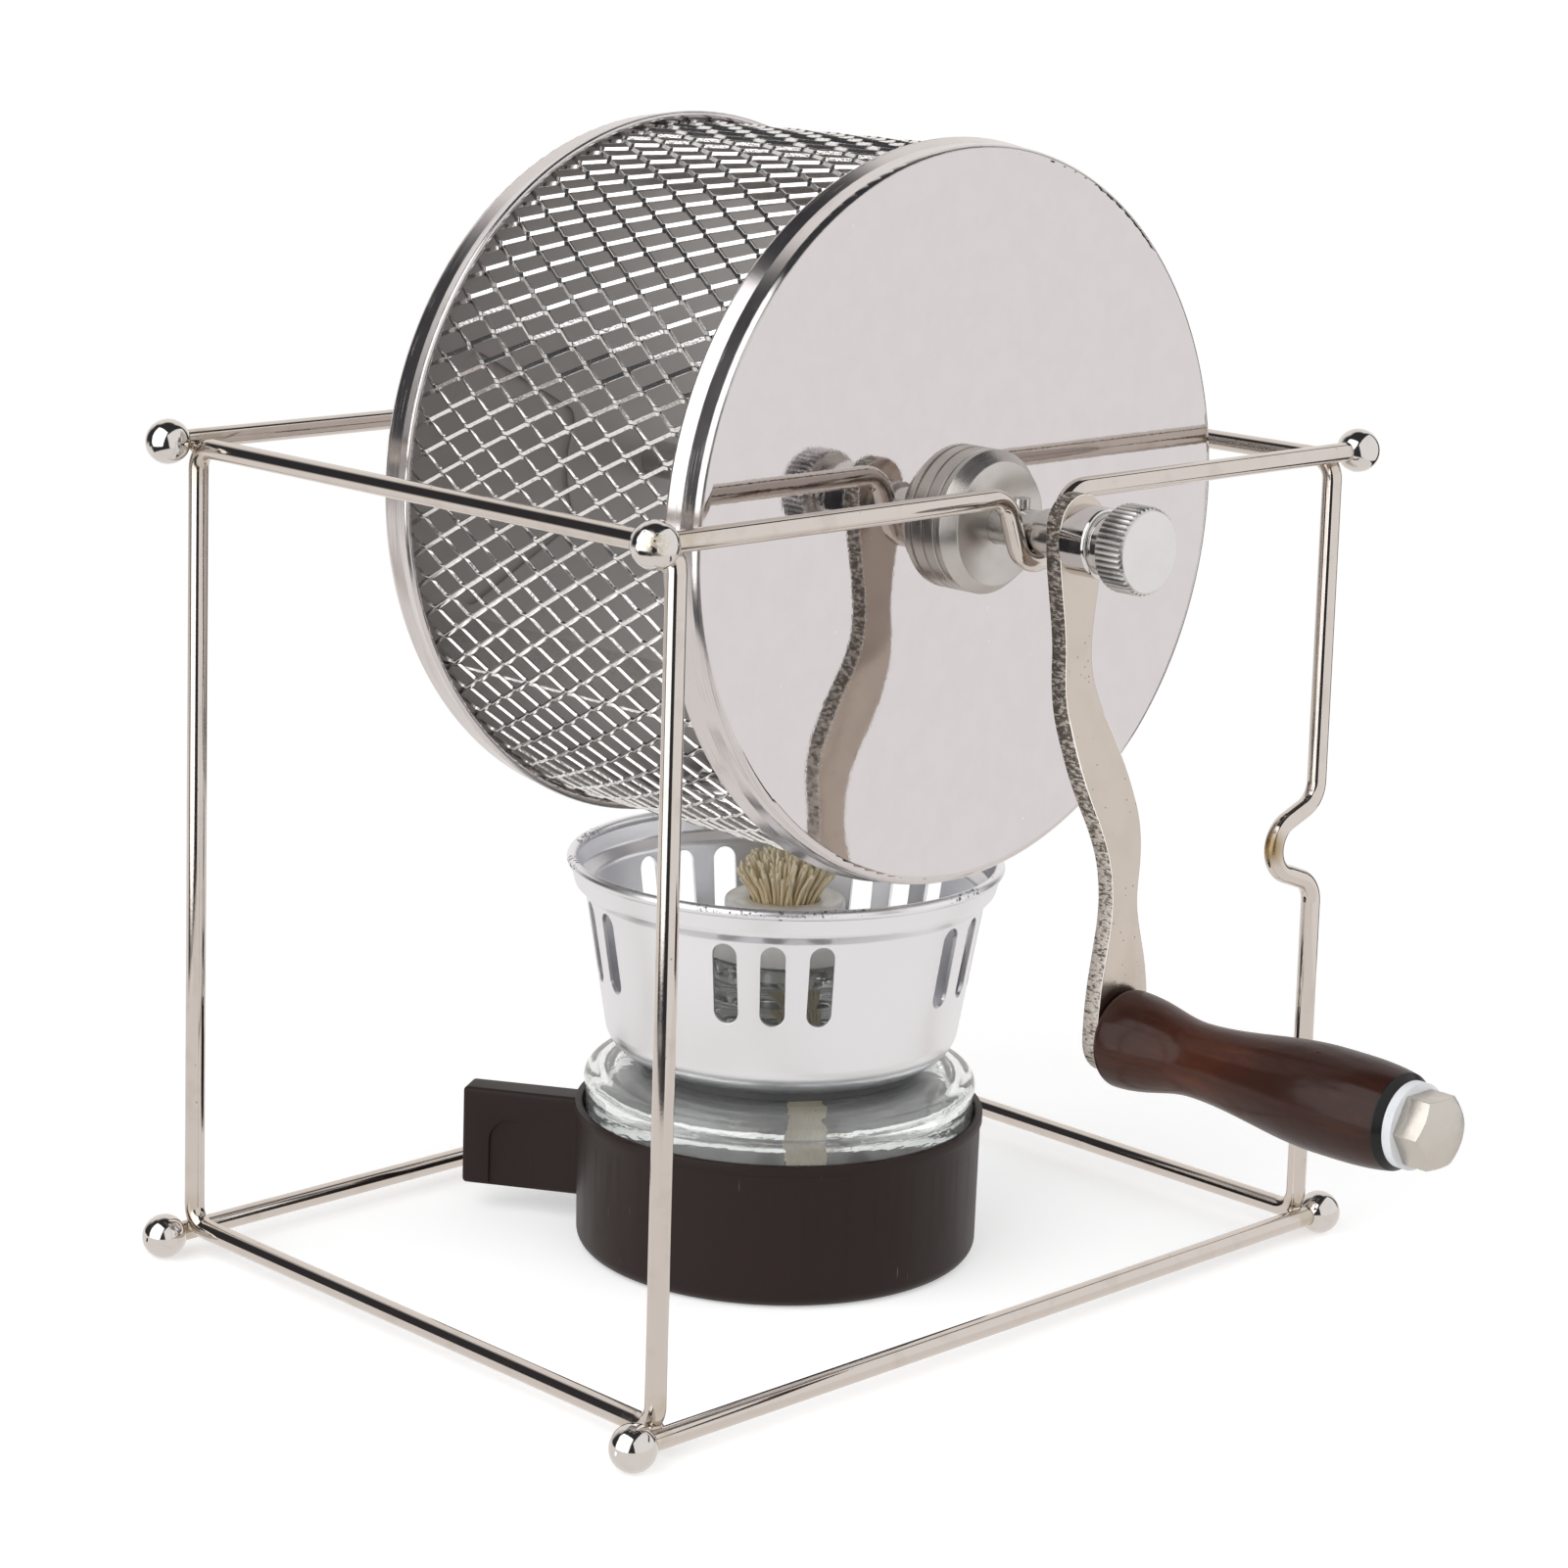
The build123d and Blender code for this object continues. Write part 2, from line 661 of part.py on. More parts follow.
with BuildPart() as thumb_nut:
    with BuildSketch(across_axle(nut_back)):
        with BuildLine():
            Polyline(*knurl_points, close=True)
        make_face()
    extrude(amount=nut_length)
    with BuildSketch(axle_profile):
        with BuildLine():
            Polyline(
                (nut_back, 0),
                (nut_back, nut_r - nut_chamfer),
                (nut_back + nut_chamfer, nut_r),
                (nut_front - nut_chamfer, nut_r),
                (nut_front, nut_r - nut_chamfer),
                (nut_front, 0),
                close=True,
            )
        make_face()
    revolve(axis=axle_axis, mode=Mode.INTERSECT)
    with BuildSketch(across_axle(nut_back)):
        Circle(spigot_d / 2 + nut_clearance)
    extrude(amount=nut_bore_depth, mode=Mode.SUBTRACT)

# Grip: turned wood, free to spin on its bolt between the arm and the washer.
grip_bore_r = bolt_d / 2 + grip_clearance
with BuildPart() as wooden_grip:
    with BuildSketch(grip_profile):
        with BuildLine():
            root = (grip_back + grip_root_radius, grip_root_d / 2)
            end = (grip_front - grip_end_bevel, grip_end_d / 2 + grip_end_bevel)
            Spline(
                root,
                (grip_back + grip_waist_at, grip_waist_d / 2),
                (grip_back + grip_belly_at, grip_belly_d / 2),
                end,
                tangents=[(1, 0), (1, 0), (1, 0), (1, -grip_end_slope)],
            )
            RadiusArc((grip_back, grip_root_d / 2 - grip_root_radius), root, grip_root_radius)
            Polyline(
                end,
                (grip_front, grip_end_d / 2),
                (grip_front, grip_bore_r),
                (grip_back, grip_bore_r),
                (grip_back, grip_root_d / 2 - grip_root_radius),
            )
        make_face()
    revolve(axis=grip_axis)

with BuildPart() as grip_washer:
    with BuildSketch(across_grip(washer_back)):
        Circle(washer_d / 2)
        Circle(bolt_d / 2 + hub_fit, mode=Mode.SUBTRACT)
    extrude(amount=washer_sheet)

# Bolt: its hex head is cut by a cone that leaves a round top face.
bolt_end = bolt_head_back + bolt_head
bolt_chamfer_fall = (bolt_head_flats - bolt_face_d / 2) * tan(radians(bolt_chamfer_slope))
with BuildPart() as grip_bolt:
    with BuildSketch(across_grip(grip_seat - arm_sheet)):
        Circle(bolt_d / 2)
    extrude(amount=bolt_head_back - grip_seat + arm_sheet)
    with BuildSketch(across_grip(bolt_head_back)):
        RegularPolygon(bolt_head_flats / 2, 6, major_radius=False)
    extrude(amount=bolt_head)
    with BuildSketch(grip_profile):
        with BuildLine():
            Polyline(
                (grip_seat - arm_sheet, 0),
                (grip_seat - arm_sheet, bolt_head_flats),
                (bolt_end - bolt_chamfer_fall, bolt_head_flats),
                (bolt_end, bolt_face_d / 2),
                (bolt_end, 0),
                close=True,
            )
        make_face()
    revolve(axis=grip_axis, mode=Mode.INTERSECT)

# Burner base: a moulded cup with a lip at its rim and a flat lug, recessed in both faces.
base_r = base_d / 2
base_foot_r = base_r - base_taper
base_inner_r = base_r - base_wall
lug_bottom = lug_top - lug_height
lug_start_r = base_inner_r
lug_middle = burner_side(lug_direction - 90, 0, 0)
lug_axis = Axis(lug_middle.origin, lug_middle.x_dir)
recess_x = lug_reach - lug_recess_inset
recess_arch_z = lug_bottom + lug_recess_height - lug_recess_width / 2

with BuildPart() as burner_base:
    with BuildSketch(lug_middle):
        with Locations(((lug_start_r + lug_reach) / 2, (lug_top + lug_bottom) / 2)):
            Rectangle(lug_reach - lug_start_r, lug_height)
    extrude(amount=lug_thickness / 2, both=True)
    along_lug, lug_end = burner_base.edges().group_by(lug_axis)[1:]
    fillet(along_lug + lug_end, lug_edge_radius)
    with BuildSketch(lug_middle.offset(lug_thickness / 2), lug_middle.offset(-lug_thickness / 2)):
        with Locations((recess_x, recess_arch_z)):
            Circle(lug_recess_width / 2)
        with Locations((recess_x, (recess_arch_z + lug_bottom) / 2)):
            Rectangle(lug_recess_width, recess_arch_z - lug_bottom)
    extrude(amount=lug_recess_depth, both=True, mode=Mode.SUBTRACT)
    with BuildSketch(burner_profile) as base_section:
        with BuildLine():
            Polyline(
                (0, 0),
                (base_foot_r, 0),
                (base_r - base_lip, base_height - base_lip_height),
                (base_r, base_height - base_lip_height),
                (base_r, base_height),
                (base_inner_r, base_height),
                (base_inner_r - base_taper, base_floor),
                (0, base_floor),
                close=True,
            )
        make_face()
        foot_edge = base_section.vertices().sort_by_distance((base_foot_r, 0, 0))[0]
        fillet(foot_edge, base_foot_radius)
    revolve(axis=burner_axis)

# Bottle: thick glass that stands in the base, with a sloping shoulder up to a flat ring and a neck.
bottle_r = bottle_d / 2
neck_r = neck_d / 2
with BuildPart() as glass_bottle:
    with BuildSketch(burner_profile) as bottle_section:
        with BuildLine():
            Polyline(
                (0, base_floor),
                (bottle_r - base_taper, base_floor),
                (bottle_r, bottle_shoulder),
                (bottle_top_d / 2, bottle_top),
                (neck_r, bottle_top),
                (neck_r, neck_top),
                (neck_r - bottle_wall, neck_top),
                (neck_r - bottle_wall, bottle_top - bottle_wall),
                (bottle_r - bottle_wall, bottle_shoulder - bottle_wall),
                (bottle_r - base_taper - bottle_wall, base_floor + bottle_wall),
                (0, base_floor + bottle_wall),
                close=True,
            )
        make_face()
        heel = bottle_section.vertices().sort_by_distance((bottle_r - base_taper, base_floor, 0))[0]
        fillet(heel, bottle_heel_radius)
        shoulder_edge = bottle_section.vertices().sort_by_distance((bottle_r, bottle_shoulder, 0))[0]
        fillet(shoulder_edge, bottle_shoulder_radius)
    revolve(axis=burner_axis)

# Seat: a rubber ring around the neck, under the windshield.
seat_bore_r = neck_r + neck_clearance
seat_top = bottle_top + seat_sheet
with BuildPart() as windshield_seat:
    with BuildSketch(Plane(origin=(burner_x, burner_y, bottle_top))):
        Circle(seat_d / 2)
        Circle(seat_bore_r, mode=Mode.SUBTRACT)
    extrude(amount=seat_sheet)

# Wick holder: a plug in the neck with a flange on its rim and a sleeve for the wick.
with BuildPart() as wick_holder:
    with BuildSketch(burner_profile):
        with BuildLine():
            Polyline(
                (wick_d / 2 + wick_clearance, neck_top - holder_plug),
                (neck_r - bottle_wall - holder_clearance, neck_top - holder_plug),
                (neck_r - bottle_wall - holder_clearance, neck_top),
                (neck_r, neck_top),
                (neck_r, neck_top + holder_flange),
                (holder_d / 2, neck_top + holder_flange),
                (holder_d / 2, holder_top),
                (wick_d / 2 + wick_clearance, holder_top),
                close=True,
            )
        make_face()
    revolve(axis=burner_axis)

with BuildPart() as wick:
    with BuildSketch(burner_profile):
        with BuildLine():
            Polyline(
                (0, wick_tail_bottom),
                (wick_tail_d / 2, wick_tail_bottom),
                (wick_tail_d / 2, neck_top - holder_plug),
                (wick_d / 2, neck_top - holder_plug),
                (wick_d / 2, holder_top),
                (wick_tuft_d / 2, wick_tuft_middle),
                (wick_d / 2, wick_tuft_top),
                (0, wick_tuft_top),
                close=True,
            )
        make_face()
    revolve(axis=burner_axis)

# Windshield: a spun cup with a round foot, a ledge under its rolled rim and slots in groups of three.
cup_floor = seat_top + cup_sheet / 2
slot_planes = []
for group in range(slot_groups):
    for slot in range(slots_in_group):
        slot_turn = (slot - (slots_in_group - 1) / 2) * slot_pitch
        slot_angle = slot_direction + group * 360 / slot_groups + slot_turn
        slot_planes.append(burner_side(slot_angle, neck_r, slot_height))

with BuildPart() as windshield:
    with BuildSketch(burner_profile):
        with BuildLine():
            cup_line = FilletPolyline(
                (seat_bore_r + cup_sheet / 2, cup_floor),
                (cup_foot_d / 2, cup_floor),
                (cup_wall_d / 2, cup_flare_height),
                (cup_ledge_d / 2, cup_ledge_height),
                (cup_rim_d / 2 - cup_bead_d / 2, cup_rim_height - cup_bead_d / 2),
                radius=[cup_corner_radius, cup_flare_radius, cup_ledge_radius],
            )
            offset(cup_line, cup_sheet / 2, side=Side.BOTH)
        make_face()
        with Locations(cup_line @ 1):
            Circle(cup_bead_d / 2)
    revolve(axis=burner_axis)
    with BuildSketch(*slot_planes):
        SlotOverall(slot_length, slot_width, rotation=90)
    extrude(amount=cup_rim_d / 2, mode=Mode.SUBTRACT)

nodes = {
    "left_side_loop": left_side_loop,
    "right_side_loop": right_side_loop,
    "front_upper_rod": front_upper_rod,
    "rear_upper_rod": rear_upper_rod,
    "front_lower_rod": front_lower_rod,
    "rear_lower_rod": rear_lower_rod,
    "upper_ball_ends": upper_ball_ends,
    "ball_feet": ball_feet,
    "front_cap": front_cap,
    "rear_cap": rear_cap,
    "drum_mesh": drum_mesh,
    "mixing_vanes": mixing_vanes,
    "drum_shaft": drum_shaft,
    "axle_stop_screws": axle_stop_screws,
    "front_hub": front_hub,
    "rear_hub": rear_hub,
    "port_shutter": port_shutter,
    "shutter_knob": shutter_knob,
    "crank_arm": crank_arm,
    "crank_collar": crank_collar,
    "thumb_nut": thumb_nut,
    "wooden_grip": wooden_grip,
    "grip_washer": grip_washer,
    "grip_bolt": grip_bolt,
    "burner_base": burner_base,
    "glass_bottle": glass_bottle,
    "windshield_seat": windshield_seat,
    "wick_holder": wick_holder,
    "wick": wick,
    "windshield": windshield,
}
for name, builder in nodes.items():
    builder.part.label = name
    export_step(builder.part, f"parts/{name}.step")
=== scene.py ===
"""Looks of a hand-crank coffee roaster: a mesh drum on a wire stand above a spirit burner.

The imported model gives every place. Nodes whose shape is right keep their mesh and get a finish, the rest
are modelled anew where they stand. Sizes in the classes are millimetres, everything in Blender is metres.
"""

from __future__ import annotations

import json
import logging
import math
import random
from collections.abc import Callable, Iterable, Sequence
from dataclasses import dataclass, field
from enum import Enum
from functools import reduce
from typing import Any

import bpy
from mathutils import Matrix, Vector

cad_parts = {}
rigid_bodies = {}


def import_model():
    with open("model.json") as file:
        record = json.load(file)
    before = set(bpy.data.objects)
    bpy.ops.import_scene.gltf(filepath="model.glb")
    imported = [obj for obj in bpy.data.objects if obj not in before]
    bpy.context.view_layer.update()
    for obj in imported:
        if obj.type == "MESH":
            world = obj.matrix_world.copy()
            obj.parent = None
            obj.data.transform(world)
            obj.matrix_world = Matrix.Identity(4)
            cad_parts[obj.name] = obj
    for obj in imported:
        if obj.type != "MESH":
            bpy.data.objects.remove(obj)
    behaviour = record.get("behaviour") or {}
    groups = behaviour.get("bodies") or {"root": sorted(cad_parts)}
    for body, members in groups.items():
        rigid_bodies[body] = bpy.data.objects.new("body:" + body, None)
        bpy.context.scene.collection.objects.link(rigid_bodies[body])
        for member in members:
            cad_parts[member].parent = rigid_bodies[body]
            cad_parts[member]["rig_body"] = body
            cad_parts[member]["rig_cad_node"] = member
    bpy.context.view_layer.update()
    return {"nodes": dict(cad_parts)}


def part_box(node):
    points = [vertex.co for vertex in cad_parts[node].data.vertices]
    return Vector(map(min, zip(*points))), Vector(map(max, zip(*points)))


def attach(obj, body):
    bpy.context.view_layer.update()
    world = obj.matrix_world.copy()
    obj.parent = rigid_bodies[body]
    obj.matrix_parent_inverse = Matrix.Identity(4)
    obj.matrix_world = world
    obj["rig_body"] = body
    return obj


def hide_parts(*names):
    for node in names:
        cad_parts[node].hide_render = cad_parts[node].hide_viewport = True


LOG = logging.getLogger("roaster")
MM = 0.001
MERGE_DISTANCE = 0.002 * MM

Colour = tuple[float, float, float]
Place = tuple[float, float, float]
Point = tuple[float, float]
Piece = bpy.types.Object
Socket = bpy.types.NodeSocket

AXLE_CENTRE: Place = (0.0, 0.0, 168.0)
ALONG_AXLE = Vector((0.0, 1.0, 0.0))
UPWARD = Vector((0.0, 0.0, 1.0))


class Body(Enum):
    """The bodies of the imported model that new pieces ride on."""

    STAND = "stand"
    DRUM = "drum"
    NUT = "nut"
    BURNER = "burner"


def operator(operation: str, swapped: bool = False) -> Callable[[Value, Any], Value]:
    """Make a method of Value that adds a Math node with two inputs.

    Args:
        operation: Blender's name of the operation.
        swapped: whether the other number comes first.

    Returns:
        The method.
    """

    def method(self: Value, other: Any) -> Value:
        """Join this number to another one."""
        return self.math(operation, *((other, self) if swapped else (self, other)))

    return method


class Value:
    """A number in a node tree. Python's operators on it add Math nodes."""

    def __init__(self, graph: Graph, socket: Socket) -> None:
        """Keep the tree and the socket that gives the number."""
        self.graph = graph
        self.socket = socket

    def math(self, operation: str, *operands: Any) -> Value:
        """Add a Math node with its inputs in order, numbers or values, and give its result."""
        return self.graph.value("Math", dict(enumerate(operands)), operation=operation)

    __add__ = __radd__ = operator("ADD")
    __sub__ = operator("SUBTRACT")
    __rsub__ = operator("SUBTRACT", swapped=True)
    __mul__ = __rmul__ = operator("MULTIPLY")
    larger = operator("MAXIMUM")

    def __abs__(self) -> Value:
        """Size without sign."""
        return self.math("ABSOLUTE", self)

    def root(self) -> Value:
        """Square root."""
        return self.math("SQRT", self)

    def sine(self) -> Value:
        """Sine of an angle in radians."""
        return self.math("SINE", self)

    def step(self, low: float, high: float) -> Value:
        """Rise smoothly from 0 at one number to 1 at another, or fall where low is the larger."""
        limits = (low, high, 0.0, 1.0) if low < high else (high, low, 1.0, 0.0)
        return self.graph.value("MapRange", dict(enumerate((self, *limits))), interpolation_type="SMOOTHSTEP")


class Graph:
    """A node tree that is being written, of a material or of the world."""

    def __init__(self, tree: bpy.types.NodeTree) -> None:
        """Empty the tree and keep it."""
        self.tree, self.place = tree, None
        tree.nodes.clear()

    def feed(self, socket: Socket, value: Any) -> None:
        """Link a socket to what feeds it, or set its own value.

        Args:
            socket: the input.
            value: a Value, an output socket, a number or a colour.
        """
        if isinstance(value, Value):
            value = value.socket
        if isinstance(value, Socket):
            self.tree.links.new(value, socket)
        elif socket.type == "RGBA":
            socket.default_value = (*value, 1.0)
        else:
            socket.default_value = value

    def node(self, kind: str, inputs: dict[Any, Any] | None = None, **settings: Any) -> bpy.types.Node:
        """Add a node.

        Args:
            kind: Blender's type name, after "ShaderNode".
            inputs: what feeds each input, by its name or number.
            settings: properties, which are set first.

        Returns:
            The node.
        """
        made = self.tree.nodes.new(f"ShaderNode{kind}")
        for key, value in settings.items():
            setattr(made, key, value)
        for key, value in (inputs or {}).items():
            self.feed(made.inputs[key], value)
        return made

    def value(self, kind: str, inputs: dict[Any, Any], output: Any = 0, **settings: Any) -> Value:
        """Add a node and take the number that one of its outputs gives."""
        return Value(self, self.node(kind, inputs, **settings).outputs[output])

    def coordinates(self) -> Socket:
        """Object coordinates, which are the part's own frame in metres."""
        self.place = self.place or self.node("TexCoord").outputs["Object"]
        return self.place

    def mapped(self, scale: Place = (1.0, 1.0, 1.0), shift: Place = (0.0, 0.0, 0.0)) -> Socket:
        """Object coordinates moved to a centre, then stretched.

        Args:
            scale: factor on each axis.
            shift: the point that becomes the centre, in millimetres.

        Returns:
            The vector's socket.
        """
        centre = [MM * part for part in shift]
        centred = self.node("VectorMath", {0: self.coordinates(), 1: centre}, operation="SUBTRACT")
        return self.node("Mapping", {"Vector": centred.outputs[0], "Scale": scale}).outputs[0]

    def axes(self, vector: Socket) -> tuple[Value, ...]:
        """The three numbers of a vector."""
        made = self.node("SeparateXYZ", {0: vector})
        return tuple(Value(self, output) for output in made.outputs)

    def height(self) -> Value:
        """Height above the floor, in metres."""
        return self.axes(self.coordinates())[2]

    def turned(self) -> tuple[Value, Value]:
        """Distances from the axle and along it, in metres."""
        x, y, z = self.axes(self.mapped(shift=AXLE_CENTRE))
        return (x * x + z * z).root(), y

    def noise(
        self, size: float, detail: float = 3.0, vector: Socket | None = None, contrast: float = 0.5
    ) -> Value:
        """Cloudy noise around 0.5, by the size of its blotches in millimetres and its octaves of detail."""
        inputs = {"Vector": vector or self.coordinates(), "Scale": 1.0 / (size * MM)}
        return self.value("TexNoise", {**inputs, "Detail": detail, "Roughness": contrast})

    def specks(self, size: float, radius: float, share: float) -> Value:
        """A mask of small round specks.

        Args:
            size: typical distance between candidate places, in millimetres.
            radius: of a speck, as a share of size.
            share: how many of the places hold a speck, from 0 to 1.

        Returns:
            1 inside a speck, 0 outside.
        """
        made = self.node("TexVoronoi", {"Vector": self.coordinates(), "Scale": 1.0 / (size * MM)})
        shade = self.axes(made.outputs["Color"])[0]
        spots = Value(self, made.outputs["Distance"]).step(radius, radius * 0.4)
        return spots * shade.step(1.0 - share, 1.0 - share + 0.02)

    def near(self, centre: Place, reach: float) -> Value:
        """A soft round mask, 1 at a centre and 0 beyond a reach, both in millimetres."""
        x, y, z = self.axes(self.mapped(shift=centre))
        return (x * x + y * y + z * z).root().step(reach * MM, 0.2 * reach * MM)

    def mix(self, factor: Any, first: Any, second: Any) -> Socket:
        """A colour between two, the first where the factor is 0 and the second where it is 1."""
        return self.node("Mix", {0: factor, 6: first, 7: second}, data_type="RGBA").outputs[2]

    def dot(self, vector: Socket, axis: Sequence[float]) -> Value:
        """How far a vector reaches along an axis."""
        return self.value("VectorMath", {0: vector, 1: axis}, "Value", operation="DOT_PRODUCT")

    def facing(self) -> Value:
        """How squarely the surface faces along the axle either way, from 0 to 1."""
        return abs(self.dot(self.node("NewGeometry").outputs["True Normal"], ALONG_AXLE))

    def rays(self, *kinds: str) -> Value:
        """A mask of the kinds of rays that are named."""
        outputs = self.node("LightPath").outputs
        return reduce(Value.larger, (Value(self, outputs[f"Is {kind} Ray"]) for kind in kinds))

    def edges(self, radius: float) -> Socket:
        """The surface's normal with its edges rounded, to a radius in millimetres."""
        return self.node("Bevel", {"Radius": radius * MM}, samples=4).outputs[0]

    def bump(self, height: Value, depth: float, normal: Socket | None = None) -> Socket:
        """A normal that follows a height, laid on another; a height of 1 is a depth in millimetres."""
        laid_on = {} if normal is None else {"Normal": normal}
        return self.node("Bump", {"Height": height, "Distance": depth * MM, **laid_on}).outputs[0]

    def surface(self, **sockets: Any) -> None:
        """Close the tree with a Principled shader, whose inputs' names have underscores for spaces."""
        inputs = {key.replace("_", " "): value for key, value in sockets.items()}
        self.node("OutputMaterial", {0: self.node("BsdfPrincipled", inputs).outputs[0]})


@dataclass(frozen=True)
class Finish:
    """A surface of the roaster. A subclass writes its nodes."""

    name: str

    def paint(self, graph: Graph) -> None:
        """Write the finish's nodes."""
        raise NotImplementedError

    def material(self) -> bpy.types.Material:
        """Make the material at its first use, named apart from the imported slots.

        Returns:
            The finish's material.
        """
        label = f"{self.name}_finish"
        found = bpy.data.materials.get(label)
        if found is None:
            found = bpy.data.materials.new(label)
            found.use_nodes = True
            self.paint(Graph(found.node_tree))
        return found


@dataclass(frozen=True)
class NickelWire(Finish):
    """Drawn wire with a bright nickel coat, straw-coloured where it was welded."""

    colour: Colour = (0.615, 0.56, 0.515)
    stain: Colour = (0.50, 0.45, 0.395)
    weld_tint: Colour = (0.42, 0.32, 0.17)
    gilt: Colour = (0.34, 0.23, 0.09)
    pit: Colour = (0.12, 0.10, 0.08)
    corner: Place = (95.5, 73.2, 84.4)
    middle_height: float = 90.1
    tint_reach: float = 11.0
    tint_core: float = 3.0
    gold_spot: Place = (79.5, -73.0, 91.0)
    gold_reach: float = 5.6

    def paint(self, graph: Graph) -> None:
        """Streaks, small pits, weld tints at the corners and one spot in a dip.

        Args:
            graph: the material\'s nodes.
        """
        place = graph.mapped(shift=(0.0, 0.0, self.middle_height))
        x, y, z = (abs(axis) - MM * part for axis, part in zip(graph.axes(place), self.corner))
        from_corner = (x * x + y * y + z * z).root()
        blotch = graph.noise(7.0, 4.0)
        weld = from_corner.step(self.tint_reach * MM, self.tint_core * MM) * blotch.step(0.42, 0.6)
        spot = graph.near(self.gold_spot, self.gold_reach)
        worn = graph.mix(blotch.step(0.5, 0.75) * 0.4, self.colour, self.stain)
        tinted = graph.mix(weld * 0.3, worn, self.weld_tint)
        gilded = graph.mix(spot * 0.9, tinted, self.gilt)
        fine = graph.noise(0.7, 2.0)
        pits = graph.specks(3.2, 0.10, 0.25)
        graph.surface(
            Base_Color=graph.mix(pits * 0.4, gilded, self.pit),
            Metallic=1.0,
            Roughness=0.08 + 0.05 * blotch.step(0.45, 0.75) + 0.10 * weld + 0.25 * spot,
            Normal=graph.bump(fine + 0.6 * pits, 0.003),
        )


@dataclass(frozen=True)
class PolishedBall(Finish):
    """Polished steel ball with a few small pits."""

    colour: Colour = (0.66, 0.625, 0.595)
    cloud_colour: Colour = (0.55, 0.50, 0.44)
    rub_colour: Colour = (0.60, 0.52, 0.36)
    rub: Place = (-105.2, -77.6, 176.6)
    rub_reach: float = 3.4

    def paint(self, graph: Graph) -> None:
        """Clouded polish, pits and one rubbed spot on the ball nearest the viewer.

        Args:
            graph: the material\'s nodes.
        """
        cloud = graph.noise(3.0, 3.0)
        pits = graph.specks(1.6, 0.18, 0.12)
        crumbs = graph.noise(0.7, 3.0)
        rubbed = graph.near(self.rub, self.rub_reach) * crumbs.step(0.40, 0.55)
        polish = graph.mix(cloud.step(0.52, 0.75) * 0.35, self.colour, self.cloud_colour)
        graph.surface(
            Base_Color=graph.mix(rubbed * 0.8, polish, self.rub_colour),
            Metallic=1.0,
            Roughness=0.05 + 0.07 * cloud + 0.2 * pits + 0.35 * rubbed,
            Normal=graph.bump(0.5 * cloud - pits + rubbed * crumbs, 0.02),
        )


@dataclass(frozen=True)
class PolishedSheet(Finish):
    """Mirror-bright sheet of the drum's caps, satin on the turned band, with painted shade inside the drum: a
    darker, duller tone there.
    """

    colour: Colour = (0.648, 0.612, 0.605)
    haze_colour: Colour = (0.605, 0.568, 0.558)
    speck_colour: Colour = (0.76, 0.74, 0.72)
    mark_colour: Colour = (0.42, 0.40, 0.39)
    inner_shade_colour: Colour = (0.395, 0.372, 0.355)
    outer_faces: Point = (-56.9, 38.3)
    skin: Point = (0.3, 0.5)
    plate_radius: float = 73.2
    band_radius: float = 74.6

    def paint(self, graph: Graph) -> None:
        """Faint mottling and specks on the plate, long scratches around the band.

        Args:
            graph: the material\'s nodes.
        """
        radius, along = graph.turned()
        band = radius.step(self.plate_radius * MM, self.band_radius * MM)
        front, rear = self.outer_faces
        behind = along.step(*(MM * (front + depth) for depth in self.skin))
        before = along.step(*(MM * (rear - depth) for depth in self.skin))
        # Painted shade: inside the drum the caps' faces get a darker, less metallic, rougher tone for the dim
        # light there.
        inside = behind * before * (1.0 - band)
        mottle = graph.noise(5.0, 3.0)
        grain = graph.noise(0.5, 2.0)
        specks = graph.specks(7.0, 0.05, 0.5)
        around = graph.mapped(scale=(0.012, 1.0, 0.012), shift=AXLE_CENTRE)
        scratch = graph.noise(0.22, 1.0, around)
        worn = graph.noise(16.0, 3.0)
        marks = band * scratch.step(0.56, 0.72) * worn.step(0.4, 0.62)
        hazy = graph.mix(mottle.step(0.35, 0.7) * 0.3, self.colour, self.haze_colour)
        speckled = graph.mix(specks * (1.0 - band) * 0.7, hazy, self.speck_colour)
        marked = graph.mix(marks * 0.5, speckled, self.mark_colour)
        graph.surface(
            Base_Color=graph.mix(inside * 0.8, marked, self.inner_shade_colour),
            Metallic=1.0 - 0.45 * inside,
            Roughness=0.022 + 0.02 * mottle + band * (0.11 + 0.08 * worn) + 0.12 * specks + 0.35 * inside,
            Normal=graph.bump(0.35 * mottle + 0.12 * grain + 0.5 * marks, 0.02, graph.edges(0.25)),
        )


@dataclass(frozen=True)
class ExpandedSteel(Finish):
    """Slit and stretched sheet of the drum's wall and vanes."""

    colour: Colour = (0.83, 0.815, 0.80)
    shade: Colour = (0.40, 0.39, 0.38)

    def paint(self, graph: Graph) -> None:
        """Shear marks and uneven brightness.

        Args:
            graph: the material\'s nodes.
        """
        patch = graph.noise(9.0, 2.0)
        shear = graph.noise(0.6, 3.0)
        graph.surface(
            Base_Color=graph.mix(shear.step(0.5, 0.8) * 0.6, self.colour, self.shade),
            Metallic=1.0,
            Roughness=0.07 + 0.09 * patch + 0.06 * shear,
            Normal=graph.bump(shear, 0.03),
        )


